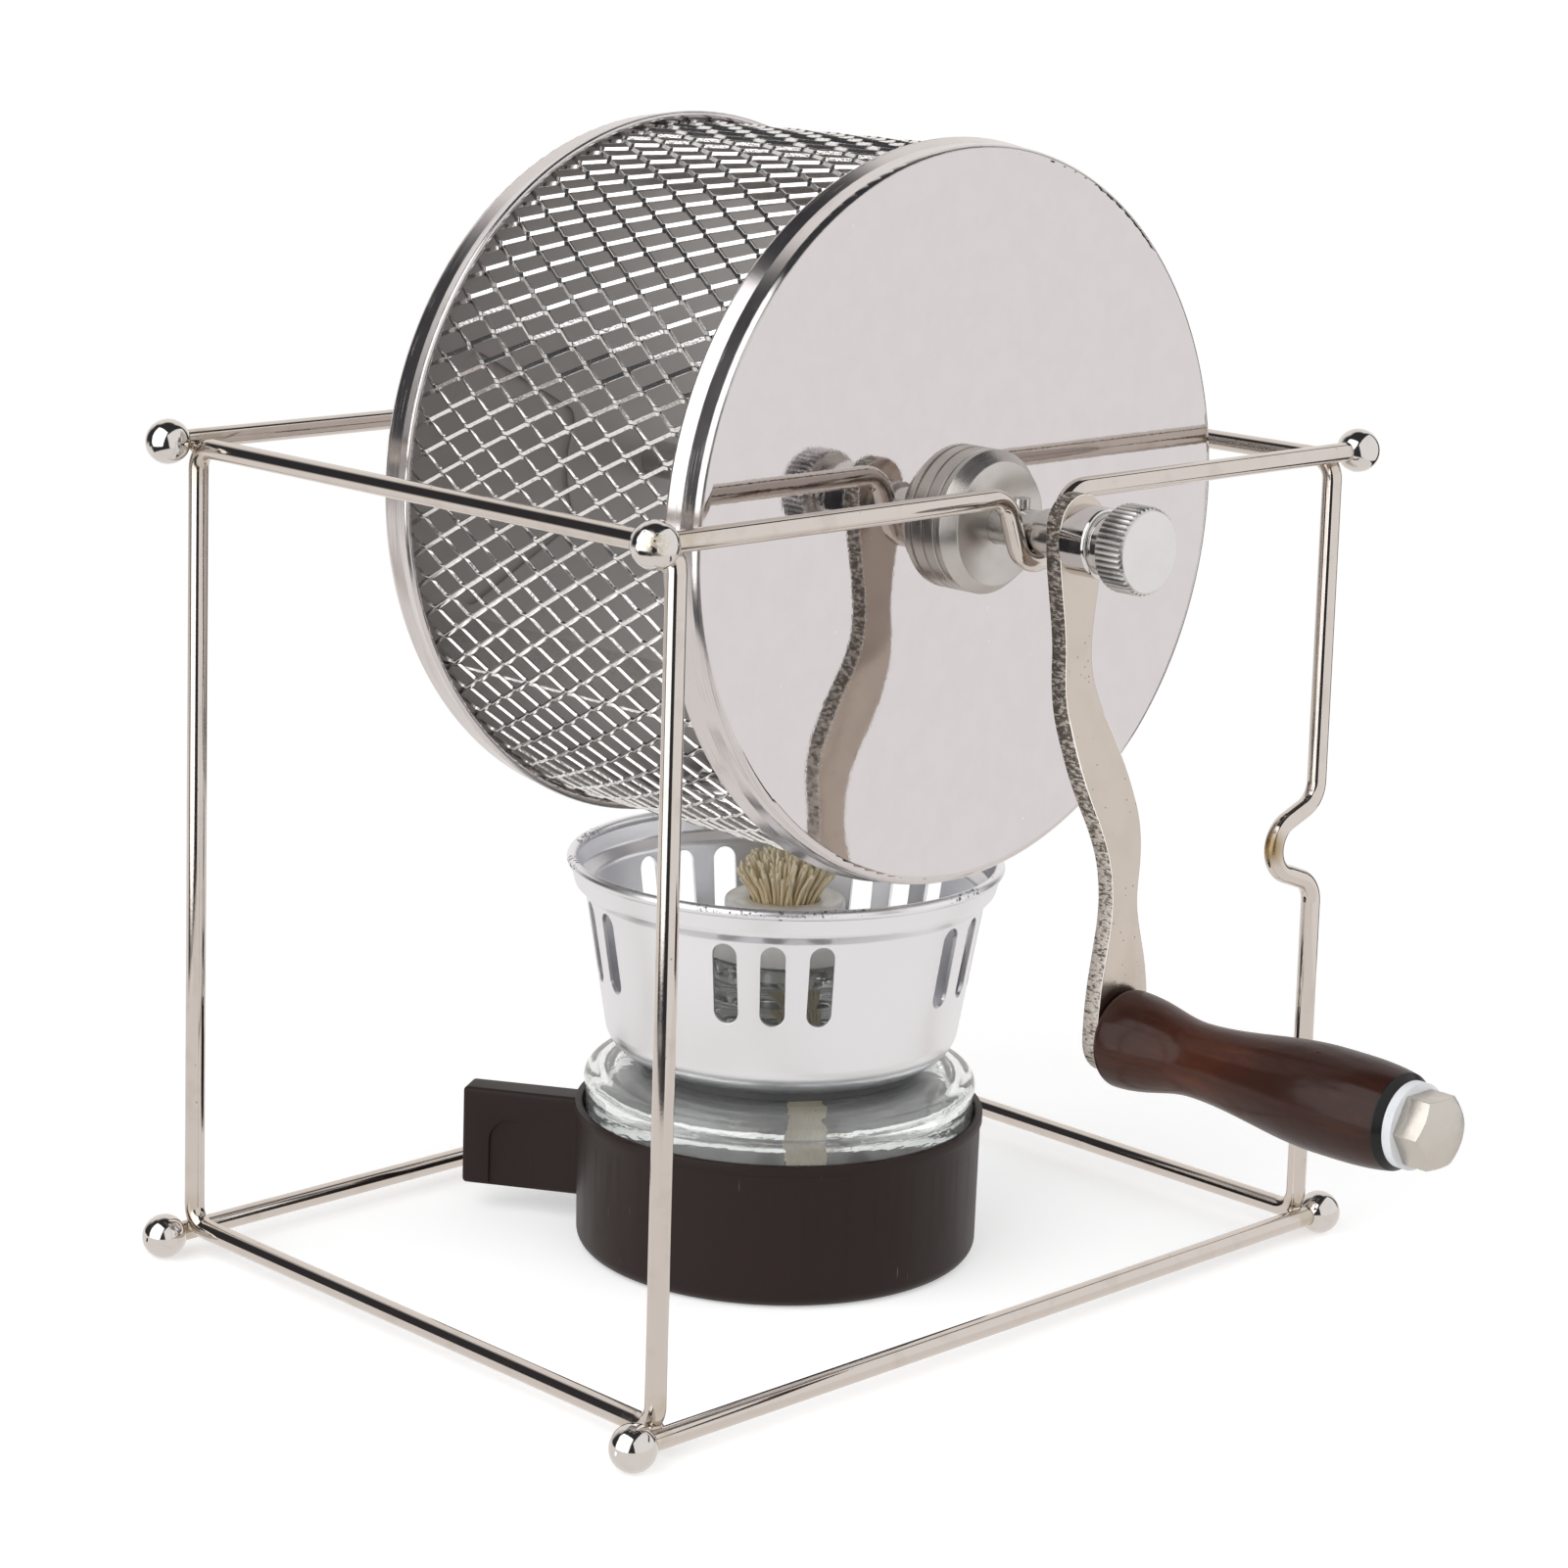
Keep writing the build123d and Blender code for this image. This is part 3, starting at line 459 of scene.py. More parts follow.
@dataclass(frozen=True)
class TurnedSteel(Finish):
    """Steel turned on a lathe, with the tool's rings on its face and round its side."""

    colour: Colour = (0.62, 0.60, 0.575)
    streak_colour: Colour = (0.50, 0.485, 0.47)
    painted_groove_shade: Colour = (0.08, 0.075, 0.07)
    roughness: float = 0.22
    ring_pitch: float = 0.22
    ring_depth: float = 0.006
    streaks: float = 0.4
    groove_places: tuple[float, ...] = ()
    groove_reach: Point = (0.32, 0.18)
    knurl_radii: tuple[float, ...] = ()
    edge: float = 0.25

    def paint(self, graph: Graph) -> None:
        """Tool rings by the distance from the axle and along it, dull patches, and painted shade in the
        grooves and between the knurl's teeth.

        Args:
            graph: the material\'s nodes.
        """
        radius, along = graph.turned()
        turns = math.tau / (self.ring_pitch * MM)
        wander = graph.noise(6.0, 3.0)
        rings = (radius * turns + 9.0 * wander).sine() + (along * turns + 9.0 * wander).sine()
        streak = graph.noise(1.2, 3.0)
        cloud = graph.noise(9.0, 3.0)
        side = 1.0 - graph.facing().step(0.5, 0.8)
        # Painted shade: the side is darkened in the hub grooves and, on the nut, between the knurl's teeth.
        groove_shading = 0.0 * side
        for place in self.groove_places:
            reach = (MM * part for part in self.groove_reach)
            groove_shading = groove_shading.larger(side * abs(along - place * MM).step(*reach))
        if self.knurl_radii:
            inner, outer = self.knurl_radii
            groove_shading = side * radius.step(outer * MM, inner * MM)
        steel = graph.mix(streak.step(0.45, 0.75) * self.streaks, self.colour, self.streak_colour)
        graph.surface(
            Base_Color=graph.mix(groove_shading * 0.8, steel, self.painted_groove_shade),
            Metallic=1.0,
            Roughness=self.roughness + 0.12 * cloud.step(0.4, 0.7) + 0.05 * streak,
            Normal=graph.bump(0.5 + 0.25 * rings, self.ring_depth, graph.edges(self.edge)),
        )


@dataclass(frozen=True)
class BrightSteel(Finish):
    """Smooth plated steel of small fittings."""

    colour: Colour = (0.68, 0.665, 0.65)
    cloud_colour: Colour = (0.58, 0.55, 0.51)
    roughness: float = 0.06
    wear: float = 0.10

    def paint(self, graph: Graph) -> None:
        """Clouded plating with fine wear.

        Args:
            graph: the material\'s nodes.
        """
        cloud = graph.noise(4.0, 4.0)
        grain = graph.noise(0.5, 3.0)
        graph.surface(
            Base_Color=graph.mix(cloud.step(0.5, 0.75) * 0.4, self.colour, self.cloud_colour),
            Metallic=1.0,
            Roughness=self.roughness + self.wear * cloud.step(0.4, 0.7),
            Normal=graph.bump(0.5 * grain + cloud, 0.012, graph.edges(0.25)),
        )


@dataclass(frozen=True)
class PittedNickel(Finish):
    """Plated flat bar, warm and smooth on its faces, pitted along its sheared edges and darker above."""

    colour: Colour = (0.575, 0.505, 0.44)
    cloud_colour: Colour = (0.51, 0.45, 0.39)
    speck_colour: Colour = (0.10, 0.085, 0.07)
    edge_colour: Colour = (0.13, 0.112, 0.095)
    edge_bright: Colour = (0.56, 0.515, 0.465)
    bevel_highlight: Colour = (0.88, 0.85, 0.81)
    worn_from: float = 135.0
    worn_to: float = 95.0

    def paint(self, graph: Graph) -> None:
        """Dark specks on the faces, bright worn bevels, coarse pitting on the edges.

        Args:
            graph: the material\'s nodes.
        """
        square = graph.facing()
        face = square.step(0.35, 0.6)
        bevel = face * square.step(0.90, 0.86)
        pitting = graph.noise(0.6, 4.0, graph.mapped(scale=(1.0, 0.4, 1.0)), contrast=0.65)
        low = graph.height().step(self.worn_from * MM, self.worn_to * MM)
        crust = graph.mix((pitting + 0.09 * low).step(0.46, 0.62), self.edge_colour, self.edge_bright)
        specks = graph.specks(1.1, 0.2, 0.2)
        cloud = graph.noise(8.0, 4.0)
        plate = graph.mix(cloud.step(0.45, 0.75) * 0.45, self.colour, self.cloud_colour)
        # Painted highlight: the bevels get a bright, non-metallic pale colour, so they look lit whatever they
        # face.
        flat = graph.mix(bevel, graph.mix(specks * 0.75, plate, self.speck_colour), self.bevel_highlight)
        relief = pitting * (1.0 - face) + face * (0.06 * graph.noise(0.8, 3.0) - 0.10 * specks)
        graph.surface(
            Base_Color=graph.mix(face, crust, flat),
            Metallic=1.0 - bevel,
            Roughness=0.38 - face * 0.22 + 0.10 * cloud + 0.25 * bevel,
            Normal=graph.bump(relief, 0.30),
        )


@dataclass(frozen=True)
class LacqueredWood(Finish):
    """Dark red-brown stained wood under gloss lacquer, with a black outer end."""

    dark: Colour = (0.016, 0.0042, 0.0028)
    warm: Colour = (0.115, 0.028, 0.009)
    end_colour: Colour = (0.006, 0.006, 0.006)
    centre: Place = (2.8, 0.0, 70.0)
    waist: float = -124.0
    waist_reach: float = 24.0
    black_from: float = -168.0

    def paint(self, graph: Graph) -> None:
        """Grain along the grip, an amber painted highlight at its waist, lumps and nicks in the lacquer.

        Args:
            graph: the material\'s nodes.
        """
        along = graph.axes(graph.mapped(shift=self.centre))[1]
        fibre_space = graph.mapped(scale=(1.0, 0.07, 1.0), shift=self.centre)
        fibres = graph.noise(1.1, 4.0, fibre_space, contrast=0.6)
        figure = graph.noise(8.0, 3.0, graph.mapped(scale=(1.0, 0.25, 1.0), shift=self.centre))
        # Painted highlight: glow is an amber sheen painted into the colour round the waist.
        glow = abs(along - self.waist * MM).step(self.waist_reach * MM, 0.0)
        grain_and_sheen = 0.10 + 0.22 * fibres.step(0.42, 0.68) * figure.step(0.35, 0.7) + 0.40 * glow * figure
        stain = graph.mix(grain_and_sheen, self.dark, self.warm)
        black = along.step((self.black_from + 0.5) * MM, (self.black_from - 0.5) * MM)
        lumps = graph.noise(6.0, 2.0)
        nicks = graph.specks(9.0, 0.07, 0.35)
        graph.surface(
            Base_Color=graph.mix(black, stain, self.end_colour),
            Roughness=0.50 + 0.12 * lumps,
            Specular_IOR_Level=0.12,
            Coat_Weight=0.38 - 0.3 * nicks,
            Coat_Roughness=0.15,
            Normal=graph.bump(lumps + 0.05 * fibres - 0.25 * nicks, 0.35),
        )


@dataclass(frozen=True)
class MouldedPlastic(Finish):
    """Dark brown moulded plastic with a satin skin and light scuffs."""

    colour: Colour = (0.0178, 0.0096, 0.0082)
    patch_colour: Colour = (0.0232, 0.0145, 0.0128)
    scuff: Colour = (0.16, 0.135, 0.125)

    def paint(self, graph: Graph) -> None:
        """Fine skin texture, a few upright scuffs and a softer gloss in patches.

        Args:
            graph: the material\'s nodes.
        """
        skin = graph.noise(0.45, 2.0)
        patch = graph.noise(14.0, 3.0)
        strokes = graph.noise(0.8, 1.0, graph.mapped(scale=(1.0, 1.0, 0.09)))
        scuffs = strokes.step(0.73, 0.78) * patch.step(0.56, 0.68)
        brown = graph.mix(patch * 0.4, self.colour, self.patch_colour)
        graph.surface(
            Base_Color=graph.mix(scuffs * 0.7, brown, self.scuff),
            Roughness=0.42 + 0.12 * patch + 0.2 * scuffs,
            Specular_IOR_Level=0.20,
            Normal=graph.bump(0.12 * skin + 0.8 * patch, 0.16, graph.edges(0.35)),
        )


@dataclass(frozen=True)
class BottleGlass(Finish):
    """Thick clear pressed glass with a slight green-grey tone and wavy faces."""

    colour: Colour = (0.97, 0.985, 0.975)
    wave_colour: Colour = (0.93, 0.95, 0.94)

    def paint(self, graph: Graph) -> None:
        """Waves from the mould and small seeds.

        Args:
            graph: the material\'s nodes.
        """
        waves = graph.noise(9.0, 2.0)
        ripple = graph.noise(2.6, 2.0, graph.mapped(scale=(1.0, 1.0, 2.2)))
        seeds = graph.specks(6.0, 0.06, 0.3)
        graph.surface(
            Base_Color=graph.mix(waves.step(0.4, 0.7) * 0.4, self.colour, self.wave_colour),
            Roughness=0.015 + 0.1 * seeds,
            IOR=1.5,
            Transmission_Weight=0.92,
            Normal=graph.bump(waves + 0.3 * ripple + 0.3 * seeds, 0.12),
        )


@dataclass(frozen=True)
class SpunAluminium(Finish):
    """Satin aluminium spun to a cup, with fine rings and a few nicks."""

    colour: Colour = (0.80, 0.80, 0.82)
    cloud_colour: Colour = (0.77, 0.77, 0.79)
    nick_colour: Colour = (0.10, 0.10, 0.10)
    ring_pitch: float = 0.5
    rim_heights: Point = (84.6, 85.3)

    def paint(self, graph: Graph) -> None:
        """Spinning rings by height, dull clouds, dark nicks and a crumbled rim.

        Args:
            graph: the material\'s nodes.
        """
        height = graph.height()
        wander = graph.noise(20.0, 2.0)
        rings = (height * (math.tau / (self.ring_pitch * MM)) + 12.0 * wander).sine()
        cloud = graph.noise(11.0, 3.0)
        rim = height.step(*(MM * part for part in self.rim_heights))
        crumbs = rim * graph.noise(0.8, 2.0).step(0.54, 0.62) * cloud.step(0.46, 0.56)
        nicks = graph.specks(12.0, 0.05, 0.3).larger(crumbs)
        clouded = graph.mix(cloud * 0.3, self.colour, self.cloud_colour)
        graph.surface(
            Base_Color=graph.mix(nicks * 0.85, clouded, self.nick_colour),
            Metallic=1.0,
            Roughness=0.27 + 0.06 * cloud + 0.2 * nicks,
            Normal=graph.bump(0.5 + 0.04 * rings - 0.4 * nicks, 0.05, graph.edges(0.3)),
        )


@dataclass(frozen=True)
class CottonStrand(Finish):
    """Unbleached cotton, paler at the frayed tips, its colours lifted as painted light against the shade
    under the drum.
    """

    deep: Colour = (0.88, 0.71, 0.43)
    pale: Colour = (1.0, 0.94, 0.77)
    root_height: float = 76.0
    tip_height: float = 87.0

    def paint(self, graph: Graph) -> None:
        """Fine fibres and a lighter tip.

        Args:
            graph: the material\'s nodes.
        """
        fibre = graph.noise(0.5, 3.0, graph.mapped(scale=(1.0, 1.0, 0.15)))
        tip = graph.height().step(self.root_height * MM, self.tip_height * MM)
        graph.surface(
            # Painted light: deep and pale are brighter than the cotton's own cream, to make up for the drum's
            # shade on the wick.
            Base_Color=graph.mix(0.25 + 0.45 * tip + 0.45 * (fibre - 0.5), self.deep, self.pale),
            Roughness=0.9,
            Normal=graph.bump(fibre, 0.25),
        )


@dataclass(frozen=True)
class PlainTrim(Finish):
    """A small plain fitting of nylon or glazed ware, or the near-black seat, whose colour is painted shade
    under the cup.
    """

    colour: Colour
    roughness: float
    grain: float = 0.4

    def paint(self, graph: Graph) -> None:
        """Slight unevenness in colour, gloss and surface.

        Args:
            graph: the material\'s nodes.
        """
        grain = graph.noise(self.grain, 3.0)
        cloud = graph.noise(6.0, 3.0)
        darker = tuple(0.82 * part for part in self.colour)
        graph.surface(
            Base_Color=graph.mix(cloud.step(0.4, 0.75) * 0.7, self.colour, darker),
            Roughness=self.roughness + 0.1 * cloud - 0.05,
            Normal=graph.bump(grain, 0.02, graph.edges(0.3)),
        )


WIRE = NickelWire("nickel_wire")
BALL = PolishedBall("polished_ball")
SHEET = PolishedSheet("polished_sheet")
SHUTTER = PolishedSheet("shutter_sheet", outer_faces=(-56.9, 39.3))
MESH = ExpandedSteel("expanded_steel")
TURNED = TurnedSteel(
    "turned_steel", colour=(0.53, 0.50, 0.47), roughness=0.25, streaks=0.6, groove_places=(-60.1, 41.5)
)
NUT_STEEL = TurnedSteel(
    "nut_steel",
    colour=(0.68, 0.66, 0.645),
    ring_pitch=0.35,
    ring_depth=0.0002,
    streaks=0.03,
    edge=0.10,
    knurl_radii=(8.3, 8.65),
)
AXLE = TurnedSteel("axle_steel", colour=(0.60, 0.585, 0.565), roughness=0.18, ring_pitch=0.3)
COLLAR = BrightSteel("collar_chrome")
BOLT = BrightSteel("bolt_nickel", colour=(0.56, 0.525, 0.475), roughness=0.26, wear=0.16)
ARM = PittedNickel("pitted_nickel")
WOOD = LacqueredWood("lacquered_wood")
PLASTIC = MouldedPlastic("moulded_plastic")
GLASS = BottleGlass("bottle_glass")
ALUMINIUM = SpunAluminium("spun_aluminium")
COTTON = CottonStrand("cotton_strand")
NYLON = PlainTrim("white_nylon", (0.70, 0.71, 0.735), 0.42)
# Painted shade: the windshield's seat is near black to stand for the shade under the cup.
SHADE_SEAT = PlainTrim("seat_rubber", (0.055, 0.056, 0.055), 0.5)
GLAZE = PlainTrim("white_glaze", (0.82, 0.81, 0.785), 0.22, grain=3.0)


@dataclass
class Workshop:
    """Modelling steps that the sub-assemblies share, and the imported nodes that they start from."""

    nodes: dict[str, Piece]

    @staticmethod
    def clear() -> None:
        """Leave edit mode and deselect everything."""
        if bpy.context.object is not None and bpy.context.object.mode != "OBJECT":
            bpy.ops.object.mode_set(mode="OBJECT")
        bpy.ops.object.select_all(action="DESELECT")

    @staticmethod
    def activate(*pieces: Piece) -> None:
        """Select pieces and nothing else.

        Args:
            pieces: the objects, of which the first becomes active.
        """
        Workshop.clear()
        for piece in pieces:
            piece.select_set(True)
        bpy.context.view_layer.objects.active = pieces[0]

    @staticmethod
    def edit() -> None:
        """Open the active piece's mesh and select all of it."""
        bpy.ops.object.mode_set(mode="EDIT")
        bpy.ops.mesh.select_all(action="SELECT")

    @staticmethod
    def merge() -> None:
        """Select all of the open mesh and join the points that lie together."""
        bpy.ops.mesh.select_all(action="SELECT")
        bpy.ops.mesh.remove_doubles(threshold=MERGE_DISTANCE)

    @staticmethod
    def named(name: str) -> Piece:
        """Leave edit mode and name the object that operators have just made.

        Args:
            name: for the object and its mesh.

        Returns:
            The object.
        """
        bpy.ops.object.mode_set(mode="OBJECT")
        made = bpy.context.object
        made.name = made.data.name = name
        return made

    @staticmethod
    def smooth(piece: Piece, degrees: float = 35.0) -> None:
        """Shade a piece smooth, except across edges sharper than an angle."""
        Workshop.activate(piece)
        bpy.ops.object.shade_smooth_by_angle(angle=math.radians(degrees))

    @staticmethod
    def bevel(piece: Piece, width: float, segments: int, sharp: float) -> None:
        """Round the edges of a piece.

        Args:
            piece: the object.
            width: of the rounding, in millimetres.
            segments: across the rounding.
            sharp: edges above this angle in degrees are rounded.
        """
        Workshop.activate(piece)
        modifier = piece.modifiers.new("bevel", "BEVEL")
        modifier.width = width * MM
        modifier.segments = segments
        modifier.limit_method = "ANGLE"
        modifier.angle_limit = math.radians(sharp)
        bpy.ops.object.modifier_apply(modifier=modifier.name)

    @staticmethod
    def draw(points: Sequence[Vector]) -> None:
        """Move what is selected to the first point and extrude it through the others.

        Args:
            points: in metres.
        """
        bpy.ops.transform.translate(value=points[0])
        for start, end in zip(points, points[1:]):
            bpy.ops.mesh.extrude_region_move(TRANSFORM_OT_translate={"value": end - start})

    @staticmethod
    def lathe(name: str, outline: Sequence[Point], centre: Vector, along: Vector, steps: int) -> Piece:
        """Turn an outline about an axis.

        Args:
            name: of the piece.
            outline: (distance along the axis, radius) in millimetres; closed if its ends agree.
            centre: a point on the axis, where the distance is 0.
            along: the axis, of length 1.
            steps: around the full turn.

        Returns:
            The piece.
        """
        outward = along.orthogonal().normalized()
        Workshop.clear()
        bpy.ops.mesh.primitive_plane_add(size=MM)
        bpy.ops.object.mode_set(mode="EDIT")
        bpy.ops.mesh.select_mode(type="VERT")
        bpy.ops.mesh.select_all(action="SELECT")
        bpy.ops.mesh.merge(type="CENTER")
        Workshop.draw([centre + MM * (distance * along + radius * outward) for distance, radius in outline])
        bpy.ops.mesh.select_all(action="SELECT")
        bpy.ops.mesh.spin(steps=steps, angle=math.tau, center=centre, axis=along)
        Workshop.merge()
        bpy.ops.mesh.normals_make_consistent(inside=False)
        return Workshop.named(name)

    def refined(self, name: str, node: str, bevel: float, segments: int = 2, sharp: float = 30.0) -> Piece:
        """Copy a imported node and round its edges.

        Args:
            name: of the piece.
            node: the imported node.
            bevel: width of the rounding, in millimetres.
            segments: across the rounding.
            sharp: edges above this angle in degrees are rounded.

        Returns:
            The piece, which stands for the node.
        """
        self.activate(self.nodes[node])
        bpy.ops.object.duplicate()
        piece = self.named(name)
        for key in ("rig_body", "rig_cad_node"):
            del piece[key]
        bpy.ops.object.parent_clear(type="CLEAR")
        bpy.ops.mesh.customdata_custom_splitnormals_clear()
        bpy.ops.object.mode_set(mode="EDIT")
        self.merge()
        bpy.ops.mesh.dissolve_limited(angle_limit=math.radians(1.0))
        self.bevel(piece, bevel, segments, sharp)
        self.smooth(piece)
        return piece

    @staticmethod
    def dress(piece: Piece, finish: Finish, body: Body, slot: str, replaces: Iterable[str] = ()) -> None:
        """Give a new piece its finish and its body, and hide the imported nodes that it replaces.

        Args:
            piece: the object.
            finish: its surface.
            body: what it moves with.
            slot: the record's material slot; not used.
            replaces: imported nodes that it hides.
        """
        piece.data.materials.clear()
        piece.data.materials.append(finish.material())
        for polygon in piece.data.polygons:
            polygon.material_index = 0
        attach(piece, body.value)
        if replaces:
            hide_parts(*replaces)
        LOG.info("%s rides on %s", piece.name, body.value)

    def paint_nodes(self, finishes: dict[str, Finish]) -> None:
        """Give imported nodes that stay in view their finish.

        Args:
            finishes: the finish of each node, by the node's name.
        """
        for node, finish in finishes.items():
            for slot in self.nodes[node].material_slots:
                slot.material = finish.material()
            LOG.info("%s keeps its shape", node)


def arc(centre: Point, radius: float, start: float, end: float, steps: int) -> list[Point]:
    """Points of an arc, both ends among them, by angles in degrees from the first axis to the second."""
    angles = [math.radians(start + (end - start) * step / steps) for step in range(steps + 1)]
    return [(centre[0] + radius * math.cos(angle), centre[1] + radius * math.sin(angle)) for angle in angles]


@dataclass
class WireStand:
    """Wire stand with ball ends: packed wires and balls, and the welds that join them."""

    shop: Workshop
    loops: Sequence[str] = ("left_side_loop", "right_side_loop")
    rods: Sequence[str] = ("front_upper_rod", "front_lower_rod", "rear_upper_rod", "rear_lower_rod")
    wire_radius: float = 2.1
    weld_radius: float = 1.5
    weld_stretch: Place = (1.55, 1.0, 1.0)
    weld_unevenness: float = 0.14
    weld_seed: int = 7

    def build(self) -> None:
        """Paint the wires and balls and add the welds."""
        self.shop.paint_nodes({wire: WIRE for wire in (*self.loops, *self.rods)})
        self.shop.paint_nodes({"upper_ball_ends": BALL, "ball_feet": BALL})
        self.add_welds()

    def weld_places(self) -> list[Vector]:
        """Find where the rods touch the round corners of the side loops.

        Returns:
            The middle of each contact, in metres.
        """
        places = []
        for loop, side in zip(self.loops, (0, 1)):
            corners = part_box(loop)
            plane = corners[side].x + (1 - 2 * side) * self.wire_radius * MM
            middle = 0.5 * (corners[0].z + corners[1].z)
            for node in self.rods:
                low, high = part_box(node)
                rod = Vector((plane, 0.5 * (low.y + high.y), high.z - self.wire_radius * MM))
                inward = Vector((0.0, math.copysign(1.0, -rod.y), math.copysign(1.0, middle - rod.z)))
                places.append(rod + inward.normalized() * self.wire_radius * MM)
        return places

    def add_welds(self) -> None:
        """Model one squeezed-out weld bead and copy it to every contact."""
        places = self.weld_places()
        Workshop.clear()
        bpy.ops.mesh.primitive_ico_sphere_add(subdivisions=3, radius=self.weld_radius * MM)
        Workshop.edit()
        bpy.ops.transform.resize(value=self.weld_stretch)
        bpy.ops.transform.vertex_random(offset=self.weld_unevenness * MM, seed=self.weld_seed)
        bpy.ops.mesh.vertices_smooth(factor=0.5, repeat=2)
        bpy.ops.transform.translate(value=places[0])
        for start, end in zip(places, places[1:]):
            bpy.ops.mesh.duplicate_move(TRANSFORM_OT_translate={"value": end - start})
        beads = Workshop.named("weld_beads")
        Workshop.smooth(beads, 60.0)
        Workshop.dress(beads, WIRE, Body.STAND, "stand_wire")


@dataclass
class Drum:
    """Roasting drum: expanded-metal wall, polished caps with rolled hems, hubs, axle and shutter.

    Heights of the wall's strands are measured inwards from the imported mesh. Places in a hub's outline run
    along the axle from the plate, groove_half holds a groove's half width at the rim and at its bottom.
    """

    shop: Workshop
    cells_around: int = 70
    cell_length: float = 11.8
    knot_place: float = 26.9
    knot_angle: float = 34.2
    strand_width: float = 1.0
    strand_sheet: float = 0.7
    strand_tilt: float = 35.0
    strand_sink: float = 0.88
    strand_edge: float = 0.09
    bond_length: float = 1.6
    hem_radius: float = 0.75
    hem_steps: int = 160
    hub_bore: float = 4.02
    hub_edge: float = 0.25
    hub_groove: float = 3.2
    groove_half: Point = (0.35, 0.12)
    groove_depth: float = 0.5
    hub_bevel: float = 2.7
    hub_face_radius: float = 12.4
    hub_steps: int = 128

    def build(self) -> None:
        """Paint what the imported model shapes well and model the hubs, the wall and the hems."""
        self.shop.paint_nodes(
            {
                "front_cap": SHEET,
                "rear_cap": SHEET,
                "mixing_vanes": MESH,
                "drum_shaft": AXLE,
                "axle_stop_screws": AXLE,
                "port_shutter": SHUTTER,
                "shutter_knob": TURNED,
            }
        )
        self.add_hub("front_hub", -1.0)
        self.add_hub("rear_hub", 1.0)
        self.add_wall()
        self.add_hems()

    def centre(self) -> Vector:
        """A point on the drum's axis, at the middle of the mesh."""
        low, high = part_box("drum_mesh")
        return 0.5 * (low + high)

    def stations(self, phase: int) -> list[Vector]:
        """Points that a ribbon runs through at the top of the drum, two at each knot.

        Args:
            phase: 0 or 1; neighbouring ribbons mirror each other.

        Returns:
            The points from front to rear, in metres.
        """
        low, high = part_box("drum_mesh")
        centre = self.centre()
        half_cell = 0.5 * self.cell_length * MM
        radius = high.z - centre.z - self.strand_sink * MM
        row = math.tau / (2 * self.cells_around)
        tilt = math.radians(self.strand_tilt)
        half_width = 0.5 * self.strand_width * MM
        first = math.floor((low.y - self.knot_place * MM) / half_cell)
        last = math.ceil((high.y - self.knot_place * MM) / half_cell)
        points = []
        for knot in range(first, last + 1):
            upper = (knot + phase) % 2
            side = -1.0 if upper else 1.0
            turn = row * (phase + upper) + side * half_width * math.cos(tilt) / radius
            depth = radius + side * half_width * math.sin(tilt)
            for step in (-0.5, 0.5):
                y = self.knot_place * MM + knot * half_cell + step * self.bond_length * MM
                points.append(Vector((depth * math.sin(turn), y, centre.z + depth * math.cos(turn))))
        return points

    def ribbon(self, phase: int) -> Piece:
        """Model one zigzag ribbon of the slit sheet, from end to end of the drum.

        Args:
            phase: 0 or 1; neighbouring ribbons mirror each other.

        Returns:
            The ribbon, where the first knot lies.
        """
        Workshop.clear()
        bpy.ops.mesh.primitive_plane_add(size=MM)
        Workshop.edit()
        bpy.ops.transform.resize(value=(self.strand_width, self.strand_sheet, 1.0))
        for angle, axis in ((90.0, "X"), (self.strand_tilt, "Y")):
            bpy.ops.transform.rotate(value=math.radians(angle), orient_axis=axis, center_override=(0, 0, 0))
        Workshop.draw(self.stations(phase))
        for corner, outer in zip(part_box("drum_mesh"), (False, True)):
            bpy.ops.mesh.select_all(action="SELECT")
            bpy.ops.mesh.bisect(
                plane_co=(0.0, corner.y, 0.0),
                plane_no=ALONG_AXLE,
                use_fill=True,
                clear_inner=not outer,
                clear_outer=outer,
            )
        bpy.ops.mesh.select_all(action="SELECT")
        turn = math.radians(self.knot_angle - 90.0)
        bpy.ops.transform.rotate(value=turn, orient_axis="Y", center_override=self.centre())
        bpy.ops.mesh.normals_make_consistent(inside=False)
        return Workshop.named(f"ribbon_{phase}")

    def add_wall(self) -> None:
        """Join two neighbouring ribbons, soften their edges and repeat them around the drum."""
        Workshop.activate(*[self.ribbon(phase) for phase in (0, 1)])
        bpy.ops.object.join()
        wall = Workshop.named("expanded_wall")
        Workshop.bevel(wall, self.strand_edge, 1, 60.0)
        Workshop.activate(wall)
        Workshop.edit()
        bpy.ops.mesh.spin(
            steps=self.cells_around, dupli=True, angle=math.tau, center=self.centre(), axis=ALONG_AXLE
        )
        Workshop.merge()
        Workshop.smooth(wall, 30.0)
        Workshop.dress(wall, MESH, Body.DRUM, "mesh_steel", ["drum_mesh"])

    def add_hub(self, node: str, outward: float) -> None:
        """Turn a hub with a groove round its rim and a wide bevel towards its face.

        Args:
            node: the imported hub.
            outward: the sign of Y towards its face.
        """
        low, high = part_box(node)
        length = (high.y - low.y) / MM
        radius = (high.x - low.x) / (2 * MM)
        groove, bevel, face = self.hub_groove, length - self.hub_bevel, self.hub_face_radius
        wide, narrow = self.groove_half
        outline = [(0.0, self.hub_bore), (0.0, radius - self.hub_edge), (self.hub_edge, radius)]
        outline += [(groove - wide, radius), (groove - narrow, radius - self.groove_depth)]
        outline += [(groove + narrow, radius - self.groove_depth), (groove + wide, radius)]
        outline += [(bevel - 0.2, radius), (bevel, radius - 0.12), (length - 0.1, face + 0.12)]
        outline += [(length, face - 0.15), (length, self.hub_bore), (0.0, self.hub_bore)]
        foot = Vector((0.0, (low.y if outward > 0.0 else high.y), self.centre().z))
        hub = Workshop.lathe(f"{node}_turned", outline, foot, outward * ALONG_AXLE, self.hub_steps)
        Workshop.smooth(hub, 25.0)
        Workshop.dress(hub, TURNED, Body.DRUM, "hub_steel", [node])

